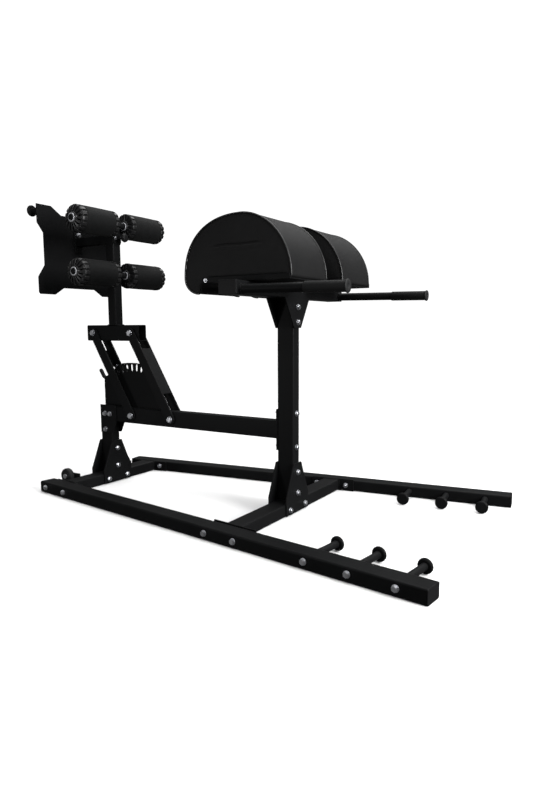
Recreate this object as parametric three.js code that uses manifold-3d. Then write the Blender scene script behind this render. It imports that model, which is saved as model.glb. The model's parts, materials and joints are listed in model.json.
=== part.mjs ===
// A glute ham developer: a splayed tube base, a main upright with two half-round hip pads and
// two handles, and a foot section with rollers and a foot plate on a swinging parallelogram.
// Millimetres, +Z up. The origin is on the floor under the main upright. +X points to the
// handle end, and the near side is -Y.
import * as THREE from "three";
import { mergeVertices } from "three/addons/utils/BufferGeometryUtils.js";
import Module from "manifold-3d";

// Driving sizes of the base
const fit = 0.3; // clearance between two pieces that touch
const pinPlay = 0.5; // clearance round a turning pin
const overrun = 5; // how far a cutting solid runs past the face it opens
const weld = 1; // how far a welded piece is sunk into what it is welded to
const tubeLong = 75; // long side of the frame tube
const tubeShort = 50; // short side of the frame tube
const tubeWall = 3;
const tubeCorner = 6.4; // outside corner radius of the tube
const plateThick = 6; // gussets, flanges and other flat steel of the base
const boltHole = 13; // clearance hole for the frame bolts
const postSpacing = 1019; // main upright to rear post
const railLength = 1930;
const railSplay = 7.4; // degrees that each rail turns out from the centre line
const railRearHalfWidth = 329.3; // centre line to the outer face, at the rear end
const railRearOverhang = 124; // rail behind the rear post's axis
const railCapThick = 3;
const railCapPlug = 16; // how deep an end cap's plug goes into the rail
const crossFlangeLong = 200;
const crossFlangeHigh = { front: 54, rear: 49 };
const crossFlangeAhead = 8; // flange's middle in front of the cross member's axis
const crossBoltPitch = 140;
const crossBoltHeight = 26;

// Band pegs of the rails
const pegFrontGap = 104; // front end of the rail to the last peg
const pegPitch = 160;
const pegRearGap = 150; // front cross member's flange to the first peg, at least
const pegHeight = 27;
const pegShaft = 25; // diameter
const pegReach = 123; // rail to the disc
const pegDisc = 52; // diameter
const pegDiscThick = 14;
const pegDiscRound = 4;

// Transport wheels
const wheelDiameter = 72;
const wheelWidth = 25;
const wheelRound = 4;
const wheelHubDiameter = 34;
const wheelRecess = 3; // depth of the side faces below the hub
const wheelInner = 176; // centre line to the wheel's inner face
const wheelBehindTube = 66; // wheel axis behind the rear cross member
const wheelHeight = 48;
const wheelTabHigh = 28;
const wheelTabGap = 2; // wheel to its tab
const wheelBolt = 12;
const wheelBoltHead = 22;
const wheelBoltHeadThick = 7;

// Rear post, beam and main upright
const beamUnderside = 302;
const crossTubeUnderside = 867;
const beamFlangeHigh = 170;
const beamBoltPitch = 138;
const gussetTopHalf = 31;
const gussetTop = 207;
const gussetShoulderHalf = 89;
const gussetShoulder = 72;
const gussetBottom = 3;
const gussetBoltHeights = [168, 82];
const gussetFootBoltOut = 61;
const gussetFootBoltHeight = 24;
const topGussetTopHalf = 99;
const topGussetLap = 4; // how far it laps up the cross tube's face
const topGussetBottomHalf = 27;
const topGussetHigh = 116;
const topGussetBoltDrops = [34, 93];
const tailPlateRear = 31; // behind the post's axis
const tailPlateFront = 73; // in front of the post's axis
const tailPlateStep = 46; // front of the narrow lower part
const tailPlateRise = 6; // above the beam
const tailPlateShoulder = 57; // below the beam's underside
const tailPlateBoltsAlong = [-1, 33];
const tailPlateLowBoltDrop = 40;

// Hip pads, their carrier and the handles
const crossTubeHalf = 411;
const handleInset = 25; // end of the cross tube to each handle's axis
const handleDiameter = 33;
const handleWall = 2.5;
const handleDrop = 5; // below the cross tube's axis
const handleTilt = 0.8; // degrees that the handles fall towards their ends
const handleSunk = 1; // into the cross tube's front wall
const handleLength = 398;
const gripDiameter = 38;
const gripLength = 153;
const gripLip = 3;
const gripLipLong = 5;
const gripEnd = 3;
const padInner = 63.5; // centre line to a pad's inner side
const padWidth = 270;
const padRear = 251; // behind the upright's axis
const padFront = 208.5; // in front of the upright's axis
const padRise = 18; // cross tube's top to the cushion's flat underside
const padCrownTop = 219; // above the flat underside
const padRoundness = 2.1; // exponent of the half-round outline
const padNoseDrop = 58; // how far the rear nose hangs below the underside
const padNoseLong = 66;
const padNoseInner = 99; // rear edge to the foot of the nose's inner face
const padDrawIn = 5; // how far the cover draws in at the side seams
const padSideSwell = 6; // how far the side panels swell past the seams
const padSideSwellStep = 4.5; // inward step of the side panel's two rings
const boardThick = 13.4;
const boardSideGap = 2;
const padLip = 20; // how thick the cover's front lip is, in front of the board
const bracketThick = 4;
const boardInset = 12; // pad side to the board, with the side gap on top
const trayFrontGap = 6; // tray's front end behind the pad's
const trayRear = 167; // rear end of the tray's flanges behind the upright's axis
const trayBolt = 9; // diameter of the hole
const trayBoltBack = 150; // behind the upright's axis
const trayBoltDrop = 9.7; // below the flange's top

// Foot section: parallelogram, post and rollers
const pivotAhead = 174; // rear lower pivot in front of the rear post's axis
const pivotSpacing = 243;
const linkLength = 455;
const linkLean = 30.7; // degrees rearwards at rest
const linkWidth = 46;
const linkThick = 8;
const linkSideGap = 2; // beam to link
const webThick = 6;
const rearWebStart = 275;
const rearWebEnd = 366;
const frontWebStart = 120;
const frontWebEnd = 359;
const pivotPin = 16;
const pivotHead = 29;
const pivotHeadThick = 9;
const pivotWasherGap = 0.5;
const footBracketLong = 340;
const footPostHigh = 493;
const axleDiameter = 25;
const axleLowHeight = 270; // above the upper pivots
const axlePitch = 228;
const axleHalf = 281;
const axleSunk = 0.5; // into the post's front face
const rollerDiameter = 118;
const rollerInner = 44;
const rollerLength = 209;
const rollerRound = 6;
const hubDiameter = 34;
const hubBoreGap = 0.6;
const capDiameter = 112;
const capOuterDeep = 20;
const capInnerDeep = 9;
const capFaceDiameter = 56;
const capPlateThick = 4;
const capFinCount = 8;
const capFinThick = 4;

// Foot plate and its slide
const slideHeight = 439; // above the upper pivots
const slideTube = 38;
const slideWall = 2.5;
const slidePlay = 0.4;
const sleeveBehindPost = 25; // sleeve sticking out behind the post
const plateBehindPost = 239; // foot plate's front face behind the post's axis
const footPlateThick = 5;
const slideFlangeWide = 50;
const slideFlangeHigh = 96;
const slideFlangeThick = 5;
const slideFlangeBolt = 34; // above and below the slide's axis
const slideStop = 46;
const slideStopThick = 6;
const knobStem = 12;
const knobStemInside = 18;
const knobStart = 31; // stop plate to the knob
const knobDiameter = 41;
const knobLong = 25;
const knobNeck = 22;
const footPlateTop = 153; // above the slide's axis, as are the next three
const footPlateNotchTop = 117;
const footPlateEarBottom = 69;
const footPlateWaistTop = 26;
const footPlateWaistBottom = 122; // below the slide's axis, as are the next four
const footPlateLobeTop = 177;
const footPlateNotchBottom = 224;
const footPlateChamferBottom = 248;
const footPlateBottom = 256;
const footPlateHalf = 240;
const footPlateEarHalf = 234;
const footPlateTopHalf = 153;
const footPlateNotchHalf = 96;
const footPlateWaistHalf = 202;
const footPlateChamfer = 8;
const footPlateBottomHalf = 148;
const footPegOut = 216;
const footPegDrop = 27; // below the plate's top edge
const footPegReach = 44;

// Selector plate and pin
const selectorThick = 6;
const selectorRear = 199; // rear edge behind the rear lower pivot
const selectorFront = 171; // front foot in front of the rear lower pivot
const selectorRearHigh = 170; // rear edge's top above the pivots
const selectorArchRadius = 431;
const selectorArchBack = 17; // arch centre behind the pivot
const selectorArchDepth = 181; // arch centre below the pivot
const selectorArchStart = 89; // arch's rear end behind the pivot
const selectorArchEnd = 109; // arch's front end in front of the pivot
const slotRadius = 228;
const slotPitch = 7.63; // degrees
const slotCount = 7;
const slotWide = 14;
const slotLong = 35;
const selectorPin = 12;
const selectorPinLead = 4.3; // degrees in front of the link's centre line
const selectorHousing = 26;
const selectorHousingOut = 23; // past the link's outer face
const selectorNoseGap = 0.6; // plate to the pin's nose
const selectorHandleOut = 12; // housing to the handle's axis
const selectorHandle = 13;
const selectorHandleBack = 163;
const selectorHandleDrop = 40;
const selectorTipBack = 26;
const selectorTipRise = 34;

// Facets
const cornerSteps = 3; // per tube corner
const holeSides = 8;
const pinSides = 12;
const rodSides = 16;
const rollerSides = 24;
const wheelSides = 20;
const archSteps = 12;
const endSteps = 6; // per round plate end
const rodSteps = 8; // along the bent handle
const crownSteps = 22; // along the pad's half-round
const noseSteps = 6;
const padStations = [-1, -0.88, -0.5, 0, 0.5, 0.88, 1];
const mergeTolerance = 1e-4;

// Heights and places that follow from the sizes above
const beamHigh = tubeLong;
const pivotHeight = beamUnderside + beamHigh / 2;
const crossTubeTop = crossTubeUnderside + tubeShort;
const padUnderside = crossTubeTop + padRise;
const lean = THREE.MathUtils.degToRad(linkLean);
const splay = THREE.MathUtils.degToRad(railSplay);
const railRear = -postSpacing - railRearOverhang;
const rearPivotX = pivotAhead - postSpacing;
const upperPivotX = rearPivotX - linkLength * Math.sin(lean);
const upperPivotZ = pivotHeight + linkLength * Math.cos(lean);
const footPostX = upperPivotX + pivotSpacing / 2;
const linkInner = tubeShort / 2 + linkSideGap;
const linkOuter = linkInner + linkThick;
const sides = { near: -1, far: 1 };

const wasm = await Module();
wasm.setup();

// Finishes
const finish = (color, roughness, metalness) =>
  new THREE.MeshStandardMaterial({ color, roughness, metalness });
const frameBlack = finish(0x1c1d1f, 0.5, 0.3);
const zincSteel = finish(0xb9bcc0, 0.3, 0.9);
const vinylBlack = finish(0x222325, 0.45, 0);
const foamBlack = finish(0x27292a, 0.85, 0);
const plasticBlack = finish(0x18191a, 0.4, 0);
const rubberBlack = finish(0x1d1e1f, 0.75, 0);
const boardBlack = finish(0x1b1a19, 0.8, 0);

// Solids: geometry to a closed solid and back
function solidOf(geometry) {
  const bare = geometry.clone();
  bare.deleteAttribute("normal");
  bare.deleteAttribute("uv");
  const merged = mergeVertices(bare, mergeTolerance);
  return new wasm.Manifold(
    new wasm.Mesh({
      numProp: 3,
      vertProperties: merged.attributes.position.array,
      triVerts: new Uint32Array(merged.index.array),
    }),
  );
}

function geometryOf(solid) {
  const mesh = solid.getMesh();
  const geometry = new THREE.BufferGeometry();
  geometry.setAttribute("position", new THREE.BufferAttribute(mesh.vertProperties, 3));
  geometry.setIndex(new THREE.BufferAttribute(mesh.triVerts, 1));
  geometry.computeVertexNormals();
  return geometry;
}

const join = (...parts) => parts.map(solidOf).reduce((all, one) => all.add(one));
const cut = (body, ...tools) => tools.map(solidOf).reduce((rest, tool) => rest.subtract(tool), body);

// Outlines, as lists of points
function arc(x, y, radius, from, to, steps) {
  return Array.from({ length: steps + 1 }, (_, i) => {
    const angle = from + ((to - from) * i) / steps;
    return [x + radius * Math.cos(angle), y + radius * Math.sin(angle)];
  });
}

const circle = (x, y, diameter, count) => arc(x, y, diameter / 2, 0, 2 * Math.PI, count).slice(0, count);

function rectangle(x, y, wide, high) {
  const [a, b] = [wide / 2, high / 2];
  return [[x - a, y - b], [x + a, y - b], [x + a, y + b], [x - a, y + b]];
}

function roundRectangle(x, y, wide, high, radius) {
  const [a, b] = [wide / 2 - radius, high / 2 - radius];
  const corner = (cx, cy, quarter) =>
    arc(x + cx, y + cy, radius, (quarter * Math.PI) / 2, ((quarter + 1) * Math.PI) / 2, cornerSteps);
  return [...corner(a, b, 0), ...corner(-a, b, 1), ...corner(-a, -b, 2), ...corner(a, -b, 3)];
}

// A plate or bar between two places on an axis. Its outline is in (Y, Z) for the X axis,
// in (X, Z) for the Y axis and in (X, Y) for the Z axis.
const unit = { x: new THREE.Vector3(1, 0, 0), y: new THREE.Vector3(0, 1, 0), z: new THREE.Vector3(0, 0, 1) };

function prism(axis, outline, from, to, holes = []) {
  const shape = new THREE.Shape(outline.map(([x, y]) => new THREE.Vector2(x, y)));
  shape.holes = holes.map((hole) => new THREE.Path(hole.map(([x, y]) => new THREE.Vector2(x, y))));
  const geometry = new THREE.ExtrudeGeometry(shape, { depth: to - from, bevelEnabled: false });
  const turn = new THREE.Matrix4();
  if (axis === "x") turn.makeBasis(unit.y, unit.z, unit.x).setPosition(from, 0, 0);
  if (axis === "y") turn.makeBasis(unit.x, unit.z, unit.y.clone().negate()).setPosition(0, to, 0);
  if (axis === "z") turn.setPosition(0, 0, from);
  return geometry.applyMatrix4(turn);
}

// A square tube along an axis, centred on (a, b) of its cross-section
function tube(axis, a, b, wide, high, wall, corner, from, to) {
  const inside = rectangle(a, b, wide - 2 * wall, high - 2 * wall);
  return prism(axis, roundRectangle(a, b, wide, high, corner), from, to, [inside]);
}

// A turned piece: its profile is a list of [radius, place along the axis]
function turned(axis, profile, count) {
  const points = profile.map(([radius, along]) => new THREE.Vector2(radius, along));
  const geometry = new THREE.LatheGeometry(points, count);
  const turn = new THREE.Matrix4();
  if (axis === "x") turn.makeBasis(unit.y, unit.x, unit.z.clone().negate());
  if (axis === "y") turn.identity();
  if (axis === "z") turn.makeBasis(unit.x, unit.z, unit.y.clone().negate());
  return geometry.applyMatrix4(turn);
}

const moved = (geometry, x, y, z) => geometry.clone().translate(x, y, z);

// A profile read from the far side of its plane turns its faces inwards, so it is reversed.
const mirrored = (profile) => profile.map(([radius, along]) => [radius, -along]).reverse();
const towards = (side, profile) => (side > 0 ? profile : mirrored(profile));

const machine = new THREE.Group();

function add(group, name, shape, material) {
  const geometry = shape.isBufferGeometry ? shape : geometryOf(shape);
  const mesh = new THREE.Mesh(geometry, material);
  mesh.name = name;
  group.add(mesh);
}

// Each rail's own frame: x runs forward along its outer face, and y points to the far side
function railFrame(side) {
  const group = new THREE.Group();
  group.position.set(railRear, side * railRearHalfWidth, 0);
  group.rotation.z = side * splay;
  group.updateMatrix();
  machine.add(group);
  return group;
}

const rails = { near: railFrame(sides.near), far: railFrame(sides.far) };

// Distance along a rail at which its inner face stands at a place along the machine
const alongRail = (x) => (x - railRear - tubeLong * Math.sin(splay)) / Math.cos(splay);
const railInnerFace = (x) => railRearHalfWidth + (x - railRear) * Math.tan(splay) - tubeLong / Math.cos(splay);

function addRail(name) {
  const side = sides[name];
  const centre = (-side * tubeLong) / 2;
  const middle = tubeShort / 2;
  const start = railCapThick + fit;
  const end = railLength - start;
  add(
    rails[name],
    `rail_${name}`,
    tube("x", centre, middle, tubeLong, tubeShort, tubeWall, tubeCorner, start, end),
    frameBlack,
  );
  const lip = roundRectangle(centre, middle, tubeLong, tubeShort, tubeCorner);
  const inset = 2 * (tubeWall + fit);
  const plug = rectangle(centre, middle, tubeLong - inset, tubeShort - inset);
  const rearCap = join(prism("x", lip, 0, railCapThick), prism("x", plug, railCapThick - weld, railCapPlug));
  const frontCap = join(
    prism("x", lip, railLength - railCapThick, railLength),
    prism("x", plug, railLength - railCapPlug, railLength - railCapThick + weld),
  );
  add(rails[name], `rail_cap_${name}_rear`, rearCap, plasticBlack);
  add(rails[name], `rail_cap_${name}_front`, frontCap, plasticBlack);
}

// A band peg's profile from its foot to its disc
function pegProfile(reach) {
  const discEnd = reach + pegDiscThick;
  return [
    [0, fit],
    [pegShaft / 2, fit],
    [pegShaft / 2, reach],
    [pegDisc / 2 - pegDiscRound, reach],
    [pegDisc / 2, reach + pegDiscRound],
    [pegDisc / 2, discEnd - pegDiscRound],
    [pegDisc / 2 - pegDiscRound, discEnd],
    [0, discEnd],
  ];
}

// As many pegs as the rail has room for, counted back from its front end
function addBandPegs(name) {
  const side = sides[name];
  const face = -side * tubeLong;
  const lastPeg = railLength - pegFrontGap;
  const flangeEnd = alongRail(0) + crossFlangeAhead + crossFlangeLong / 2;
  const pegCount = Math.floor((lastPeg - flangeEnd - pegRearGap) / pegPitch) + 1;
  for (let i = 0; i < pegCount; i++) {
    const peg = turned("y", towards(-side, pegProfile(pegReach)), rodSides);
    const along = lastPeg - (pegCount - 1 - i) * pegPitch;
    add(rails[name], `band_peg_${name}_${i + 1}`, moved(peg, along, face, pegHeight), frameBlack);
  }
}

// A cross member: a tube cut to the rails' splay, with a bolting flange at each end
function crossMember(x, flangeHigh) {
  const halfTube = tubeLong / 2;
  const flangeMiddle = fit + plateThick / 2;
  const reach = (at) => railInnerFace(at) - flangeMiddle / Math.cos(splay);
  const [back, front] = [x - halfTube, x + halfTube];
  const plan = [
    [back, -reach(back)],
    [front, -reach(front)],
    [front, reach(front)],
    [back, reach(back)],
  ];
  const span = reach(front) + overrun;
  const blank = prism("y", roundRectangle(x, tubeShort / 2, tubeLong, tubeShort, tubeCorner), -span, span);
  let body = solidOf(blank).intersect(solidOf(prism("z", plan, -overrun, tubeShort + overrun)));
  for (const name of Object.keys(sides)) {
    const side = sides[name];
    const inner = -side * (tubeLong + fit);
    const [low, high] = side < 0 ? [inner, inner + plateThick] : [inner - plateThick, inner];
    const s = alongRail(x);
    const holes = [-1, 1].map((end) => circle(s + (end * crossBoltPitch) / 2, crossBoltHeight, boltHole, holeSides));
    const outline = rectangle(s + crossFlangeAhead, flangeHigh / 2, crossFlangeLong, flangeHigh);
    const flange = prism("y", outline, low, high, holes).applyMatrix4(rails[name].matrix);
    body = body.add(solidOf(flange));
  }
  const bore = rectangle(x, tubeShort / 2, tubeLong - 2 * tubeWall, tubeShort - 2 * tubeWall);
  const cutSpan = span + crossFlangeLong;
  return body.subtract(solidOf(prism("y", bore, -cutSpan, cutSpan)));
}

const wheelX = -postSpacing - tubeLong / 2 - wheelBehindTube;

function wheelTab(side) {
  const tubeFace = -postSpacing - tubeLong / 2 + weld;
  const half = wheelTabHigh / 2;
  const outline = [
    [tubeFace, wheelHeight - half],
    [tubeFace, tubeShort - tubeCorner],
    [tubeFace - weld, wheelHeight + half],
    ...arc(wheelX, wheelHeight, half, Math.PI / 2, (3 * Math.PI) / 2, endSteps),
  ];
  const outer = wheelInner - wheelTabGap;
  const [low, high] = side < 0 ? [-outer, plateThick - outer] : [outer - plateThick, outer];
  return prism("y", outline, low, high, [circle(wheelX, wheelHeight, wheelBolt + 2 * pinPlay, pinSides)]);
}

function addCrossMembers() {
  add(machine, "front_cross_member", crossMember(0, crossFlangeHigh.front), frameBlack);
  const rear = crossMember(-postSpacing, crossFlangeHigh.rear).add(join(wheelTab(sides.near))).add(join(wheelTab(sides.far)));
  add(machine, "rear_cross_member", rear, frameBlack);
}

function addWheel(name) {
  const side = sides[name];
  const inner = wheelInner;
  const outer = wheelInner + wheelWidth;
  const [bore, rim] = [wheelBolt / 2 + pinPlay, wheelDiameter / 2];
  const [hub, face] = [wheelHubDiameter / 2, wheelDiameter / 2 - 2 * wheelRound];
  const tyre = [
    [bore, inner],
    [hub, inner],
    [hub, inner + wheelRecess],
    [face, inner + wheelRecess],
    [face, inner],
    [rim - wheelRound, inner],
    [rim, inner + wheelRound],
    [rim, outer - wheelRound],
    [rim - wheelRound, outer],
    [face, outer],
    [face, outer - wheelRecess],
    [hub, outer - wheelRecess],
    [hub, outer],
    [bore, outer],
    [bore, inner],
  ];
  add(machine, `wheel_${name}`, moved(turned("y", towards(side, tyre), wheelSides), wheelX, 0, wheelHeight), rubberBlack);
  const tabInner = wheelInner - wheelTabGap - plateThick;
  const headStart = outer + fit;
  const bolt = [
    [0, tabInner - fit - wheelBoltHeadThick],
    [wheelBoltHead / 2, tabInner - fit - wheelBoltHeadThick],
    [wheelBoltHead / 2, tabInner - fit],
    [wheelBolt / 2, tabInner - fit],
    [wheelBolt / 2, headStart],
    [wheelBoltHead / 2, headStart],
    [wheelBoltHead / 2, headStart + wheelBoltHeadThick],
    [0, headStart + wheelBoltHeadThick],
  ];
  add(machine, `wheel_axle_${name}`, moved(turned("y", towards(side, bolt), pinSides), wheelX, 0, wheelHeight), zincSteel);
}

// The rear post, the main upright and the beam between them
function addPosts() {
  const postTube = (x, top) =>
    tube("z", x, 0, tubeLong, tubeShort, tubeWall, tubeCorner, tubeShort + fit, top - fit);
  add(machine, "rear_post", postTube(-postSpacing, beamUnderside), frameBlack);
  add(machine, "upright", postTube(0, crossTubeUnderside), frameBlack);
}

function pivotBore(x, z) {
  return prism("y", circle(x, z, pivotPin + 2 * pinPlay, rodSides), -linkOuter - overrun, linkOuter + overrun);
}

function addBeam() {
  const rear = -postSpacing - tubeLong / 2;
  const flangeFront = -tubeLong / 2 - fit;
  const flangeBack = flangeFront - plateThick;
  const bore = rectangle(0, pivotHeight, tubeShort - 2 * tubeWall, beamHigh - 2 * tubeWall);
  const bolts = [-1, 1].map((end) => circle(0, pivotHeight + (end * beamBoltPitch) / 2, boltHole, holeSides));
  const flange = prism("x", rectangle(0, pivotHeight, tubeShort, beamFlangeHigh), flangeBack, flangeFront, [bore, ...bolts]);
  const run = tube("x", 0, pivotHeight, tubeShort, beamHigh, tubeWall, tubeCorner, rear, flangeBack + weld);
  const pivots = [rearPivotX, rearPivotX + pivotSpacing].map((x) => pivotBore(x, pivotHeight));
  add(machine, "beam", cut(join(run, flange), ...pivots), frameBlack);
}

// Gussets clamp the post and the upright to the tubes that they stand on
function addGussetPair(prefix, x, outline, holes) {
  const face = tubeLong / 2 + fit;
  const bored = holes.map(([y, z]) => circle(y, z, boltHole, holeSides));
  add(machine, `${prefix}_front`, prism("x", outline, x + face, x + face + plateThick, bored), frameBlack);
  add(machine, `${prefix}_rear`, prism("x", outline, x - face - plateThick, x - face, bored), frameBlack);
}

function addGussets() {
  const foot = [
    [-gussetShoulderHalf, gussetBottom],
    [gussetShoulderHalf, gussetBottom],
    [gussetShoulderHalf, gussetShoulder],
    [gussetTopHalf, gussetTop],
    [-gussetTopHalf, gussetTop],
    [-gussetShoulderHalf, gussetShoulder],
  ];
  const footHoles = [
    ...gussetBoltHeights.map((z) => [0, z]),
    [-gussetFootBoltOut, gussetFootBoltHeight],
    [gussetFootBoltOut, gussetFootBoltHeight],
  ];
  addGussetPair("upright_gusset", 0, foot, footHoles);
  addGussetPair("post_gusset", -postSpacing, foot, footHoles);
  const top = crossTubeUnderside + topGussetLap;
  const bottom = crossTubeUnderside - topGussetHigh;
  const head = [
    [-topGussetBottomHalf, bottom],
    [topGussetBottomHalf, bottom],
    [topGussetTopHalf, top],
    [-topGussetTopHalf, top],
  ];
  addGussetPair("top_gusset", 0, head, topGussetBoltDrops.map((drop) => [0, crossTubeUnderside - drop]));
}

function addTailPlates() {
  const top = beamUnderside + beamHigh + tailPlateRise;
  const shoulder = beamUnderside;
  const bottom = beamUnderside - tailPlateShoulder;
  const rear = -postSpacing - tailPlateRear;
  const front = -postSpacing + tailPlateFront;
  const step = -postSpacing + tailPlateStep;
  const outline = [[rear, bottom], [step, bottom], [front, shoulder], [front, top], [rear, top]];
  const holes = [
    ...tailPlateBoltsAlong.map((x) => circle(x - postSpacing, pivotHeight, boltHole, holeSides)),
    circle(-postSpacing, beamUnderside - tailPlateLowBoltDrop, boltHole, holeSides),
  ];
  const face = tubeShort / 2 + fit;
  add(machine, "tail_plate_near", prism("y", outline, -face - plateThick, -face, holes), frameBlack);
  add(machine, "tail_plate_far", prism("y", outline, face, face + plateThick, holes), frameBlack);
}

// The cross tube on the upright, with the two handles welded to its front face
const crossTubeAxis = crossTubeUnderside + tubeShort / 2;
const handleHeight = crossTubeAxis - handleDrop;
const handleStart = tubeLong / 2;
const handleOut = crossTubeHalf - handleInset;

function addHandles() {
  const cross = tube("y", 0, crossTubeAxis, tubeLong, tubeShort, tubeWall, tubeCorner, -crossTubeHalf, crossTubeHalf);
  const [outer, inner] = [handleDiameter / 2, handleDiameter / 2 - handleWall];
  const end = handleStart + handleLength;
  const start = handleStart - handleSunk;
  const bar = turned("x", [[inner, start], [outer, start], [outer, end], [inner, end], [inner, start]], rodSides);
  const tilt = THREE.MathUtils.degToRad(handleTilt);
  const bars = Object.values(sides).map((side) => moved(bar.clone().rotateY(tilt), 0, side * handleOut, handleHeight));
  add(machine, "handle_frame", join(cross, ...bars), frameBlack);
  const gripEndX = end + gripEnd;
  const gripStart = gripEndX - gripLength;
  const [hole, skin, lip] = [outer + fit, gripDiameter / 2, gripDiameter / 2 + gripLip];
  const grip = turned(
    "x",
    [
      [0, end + fit],
      [hole, end + fit],
      [hole, gripStart],
      [skin, gripStart],
      [skin, gripEndX - gripLipLong],
      [lip, gripEndX - gripLipLong],
      [lip, gripEndX],
      [0, gripEndX],
    ],
    rodSides,
  );
  for (const name of Object.keys(sides)) {
    add(machine, `grip_${name}`, moved(grip.clone().rotateY(tilt), 0, sides[name] * handleOut, handleHeight), rubberBlack);
  }
}

const boardUnderside = padUnderside - fit - boardThick;

// One hip pad: a half-round cushion with a nose that hangs over the rear of its board.
// Its outline runs over the crown from front to rear, round the nose and back underneath.
function padOutline(swell) {
  const middle = (padFront - padRear) / 2;
  const half = (padFront + padRear) / 2;
  const points = [];
  for (let i = 0; i <= crownSteps; i++) {
    const angle = (Math.PI * i) / crownSteps;
    const power = 2 / padRoundness;
    const along = Math.sign(Math.cos(angle)) * Math.abs(Math.cos(angle)) ** power;
    const up = Math.abs(Math.sin(angle)) ** power;
    points.push([middle + (half + swell) * along, padUnderside + (padCrownTop + swell) * up]);
  }
  for (let i = 1; i <= noseSteps; i++) {
    const angle = (Math.PI * i) / (2 * noseSteps);
    const out = (padNoseLong + swell) * Math.cos(angle);
    points.push([padNoseLong - padRear - out, padUnderside - (padNoseDrop + swell) * Math.sin(angle)]);
  }
  points.push([padNoseInner - padNoseLong / 2 - padRear, padUnderside - padNoseDrop / 2]);
  points.push([padNoseInner - padRear, padUnderside]);
  points.push([padFront + swell - padLip, padUnderside]);
  points.push([padFront + swell - padLip, boardUnderside]);
  points.push([padFront + swell, boardUnderside]);
  return points;
}

// Moves the sides of a closed outline inwards, each corner along its own mitre
function shrunk(outline, distance) {
  const inward = ([ax, az], [bx, bz]) => {
    const length = Math.hypot(bx - ax, bz - az);
    return [(az - bz) / length, (bx - ax) / length];
  };
  return outline.map((point, i) => {
    const [ax, az] = inward(outline[(i + outline.length - 1) % outline.length], point);
    const [bx, bz] = inward(point, outline[(i + 1) % outline.length]);
    const mitre = distance / (1 + ax * bx + az * bz);
    return [point[0] + (ax + bx) * mitre, point[1] + (az + bz) * mitre];
  });
}

function padGeometry() {
  const seamHalf = padWidth / 2 - padSideSwell;
  const stations = padStations.map((share) => {
    const swell = -padDrawIn * Math.abs(share) ** 6;
    return { y: share * seamHalf, outline: padOutline(swell) };
  });
  const seam = stations[0].outline;
  const side = [
    { out: padSideSwell * Math.SQRT1_2, outline: shrunk(seam, padSideSwellStep / 2) },
    { out: padSideSwell, outline: shrunk(seam, 2 * padSideSwellStep) },
  ];
  const before = side.map((ring) => ({ y: -seamHalf - ring.out, outline: ring.outline })).reverse();
  const after = side.map((ring) => ({ y: seamHalf + ring.out, outline: ring.outline }));
  const rings = [...before, ...stations, ...after];
  const count = seam.length;
  const positions = rings.flatMap((ring) => ring.outline.flatMap(([x, z]) => [x, ring.y, z]));
  const index = [];
  for (let ring = 0; ring + 1 < rings.length; ring++) {
    for (let i = 0; i < count; i++) {
      const next = (i + 1) % count;
      const [a, b] = [ring * count + i, ring * count + next];
      const [c, d] = [a + count, b + count];
      index.push(a, c, b, b, c, d);
    }
  }
  const flat = rings[0].outline.map(([x, z]) => new THREE.Vector2(x, z));
  const last = (rings.length - 1) * count;
  for (const [a, b, c] of THREE.ShapeUtils.triangulateShape(flat, [])) {
    index.push(a, b, c, last + a, last + c, last + b);
  }
  const geometry = new THREE.BufferGeometry();
  geometry.setAttribute("position", new THREE.Float32BufferAttribute(positions, 3));
  geometry.setIndex(index);
  geometry.computeVertexNormals();
  return geometry;
}

const padMiddle = padInner + padWidth / 2;
const boardRear = padNoseInner + fit - padRear;

// The steel tray under a pad: a web on the cross tube, with a flange up each side of the pad
function padTray() {
  const webTop = boardUnderside - fit;
  const webBottom = crossTubeTop + fit;
  const flangeTop = padUnderside - fit;
  const front = padFront - trayFrontGap;
  const inner = padWidth / 2 + fit;
  const outer = inner + bracketThick;
  const outline = [
    [-trayRear, webBottom],
    [front, webBottom],
    [front, flangeTop],
    [-trayRear, flangeTop],
  ];
  const holes = [circle(-trayBoltBack, flangeTop - trayBoltDrop, trayBolt, holeSides)];
  const webOutline = rectangle((boardRear + front) / 2, (webTop + webBottom) / 2, front - boardRear, webTop - webBottom);
  const flanges = [prism("y", outline, -outer, -inner, holes), prism("y", outline, inner, outer, holes)];
  return join(prism("y", webOutline, -inner - weld, inner + weld), ...flanges);
}

function addPads() {
  const boardHalf = padWidth / 2 - boardInset - boardSideGap;
  const boardFront = padFront - padDrawIn - padLip - fit;
  const board = prism("y", rectangle((boardRear + boardFront) / 2, boardUnderside + boardThick / 2, boardFront - boardRear, boardThick), -boardHalf, boardHalf);
  for (const name of Object.keys(sides)) {
    const y = sides[name] * padMiddle;
    add(machine, `pad_${name}`, moved(padGeometry(), 0, y, 0), vinylBlack);
    add(machine, `pad_board_${name}`, moved(board, 0, y, 0), boardBlack);
    add(machine, `pad_bracket_${name}`, moved(geometryOf(padTray()), 0, y, 0), frameBlack);
  }
}

// The foot section is built at rest, in frames that stand at the pivots
function linkFrame(x) {
  const group = new THREE.Group();
  group.position.set(x, 0, pivotHeight);
  group.rotation.y = -lean;
  machine.add(group);
  return group;
}

const rearLinkFrame = linkFrame(rearPivotX);
const frontLinkFrame = linkFrame(rearPivotX + pivotSpacing);
const pinOffsetX = slotRadius * Math.sin(THREE.MathUtils.degToRad(selectorPinLead));
const pinOffsetZ = slotRadius * Math.cos(THREE.MathUtils.degToRad(selectorPinLead));

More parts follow.
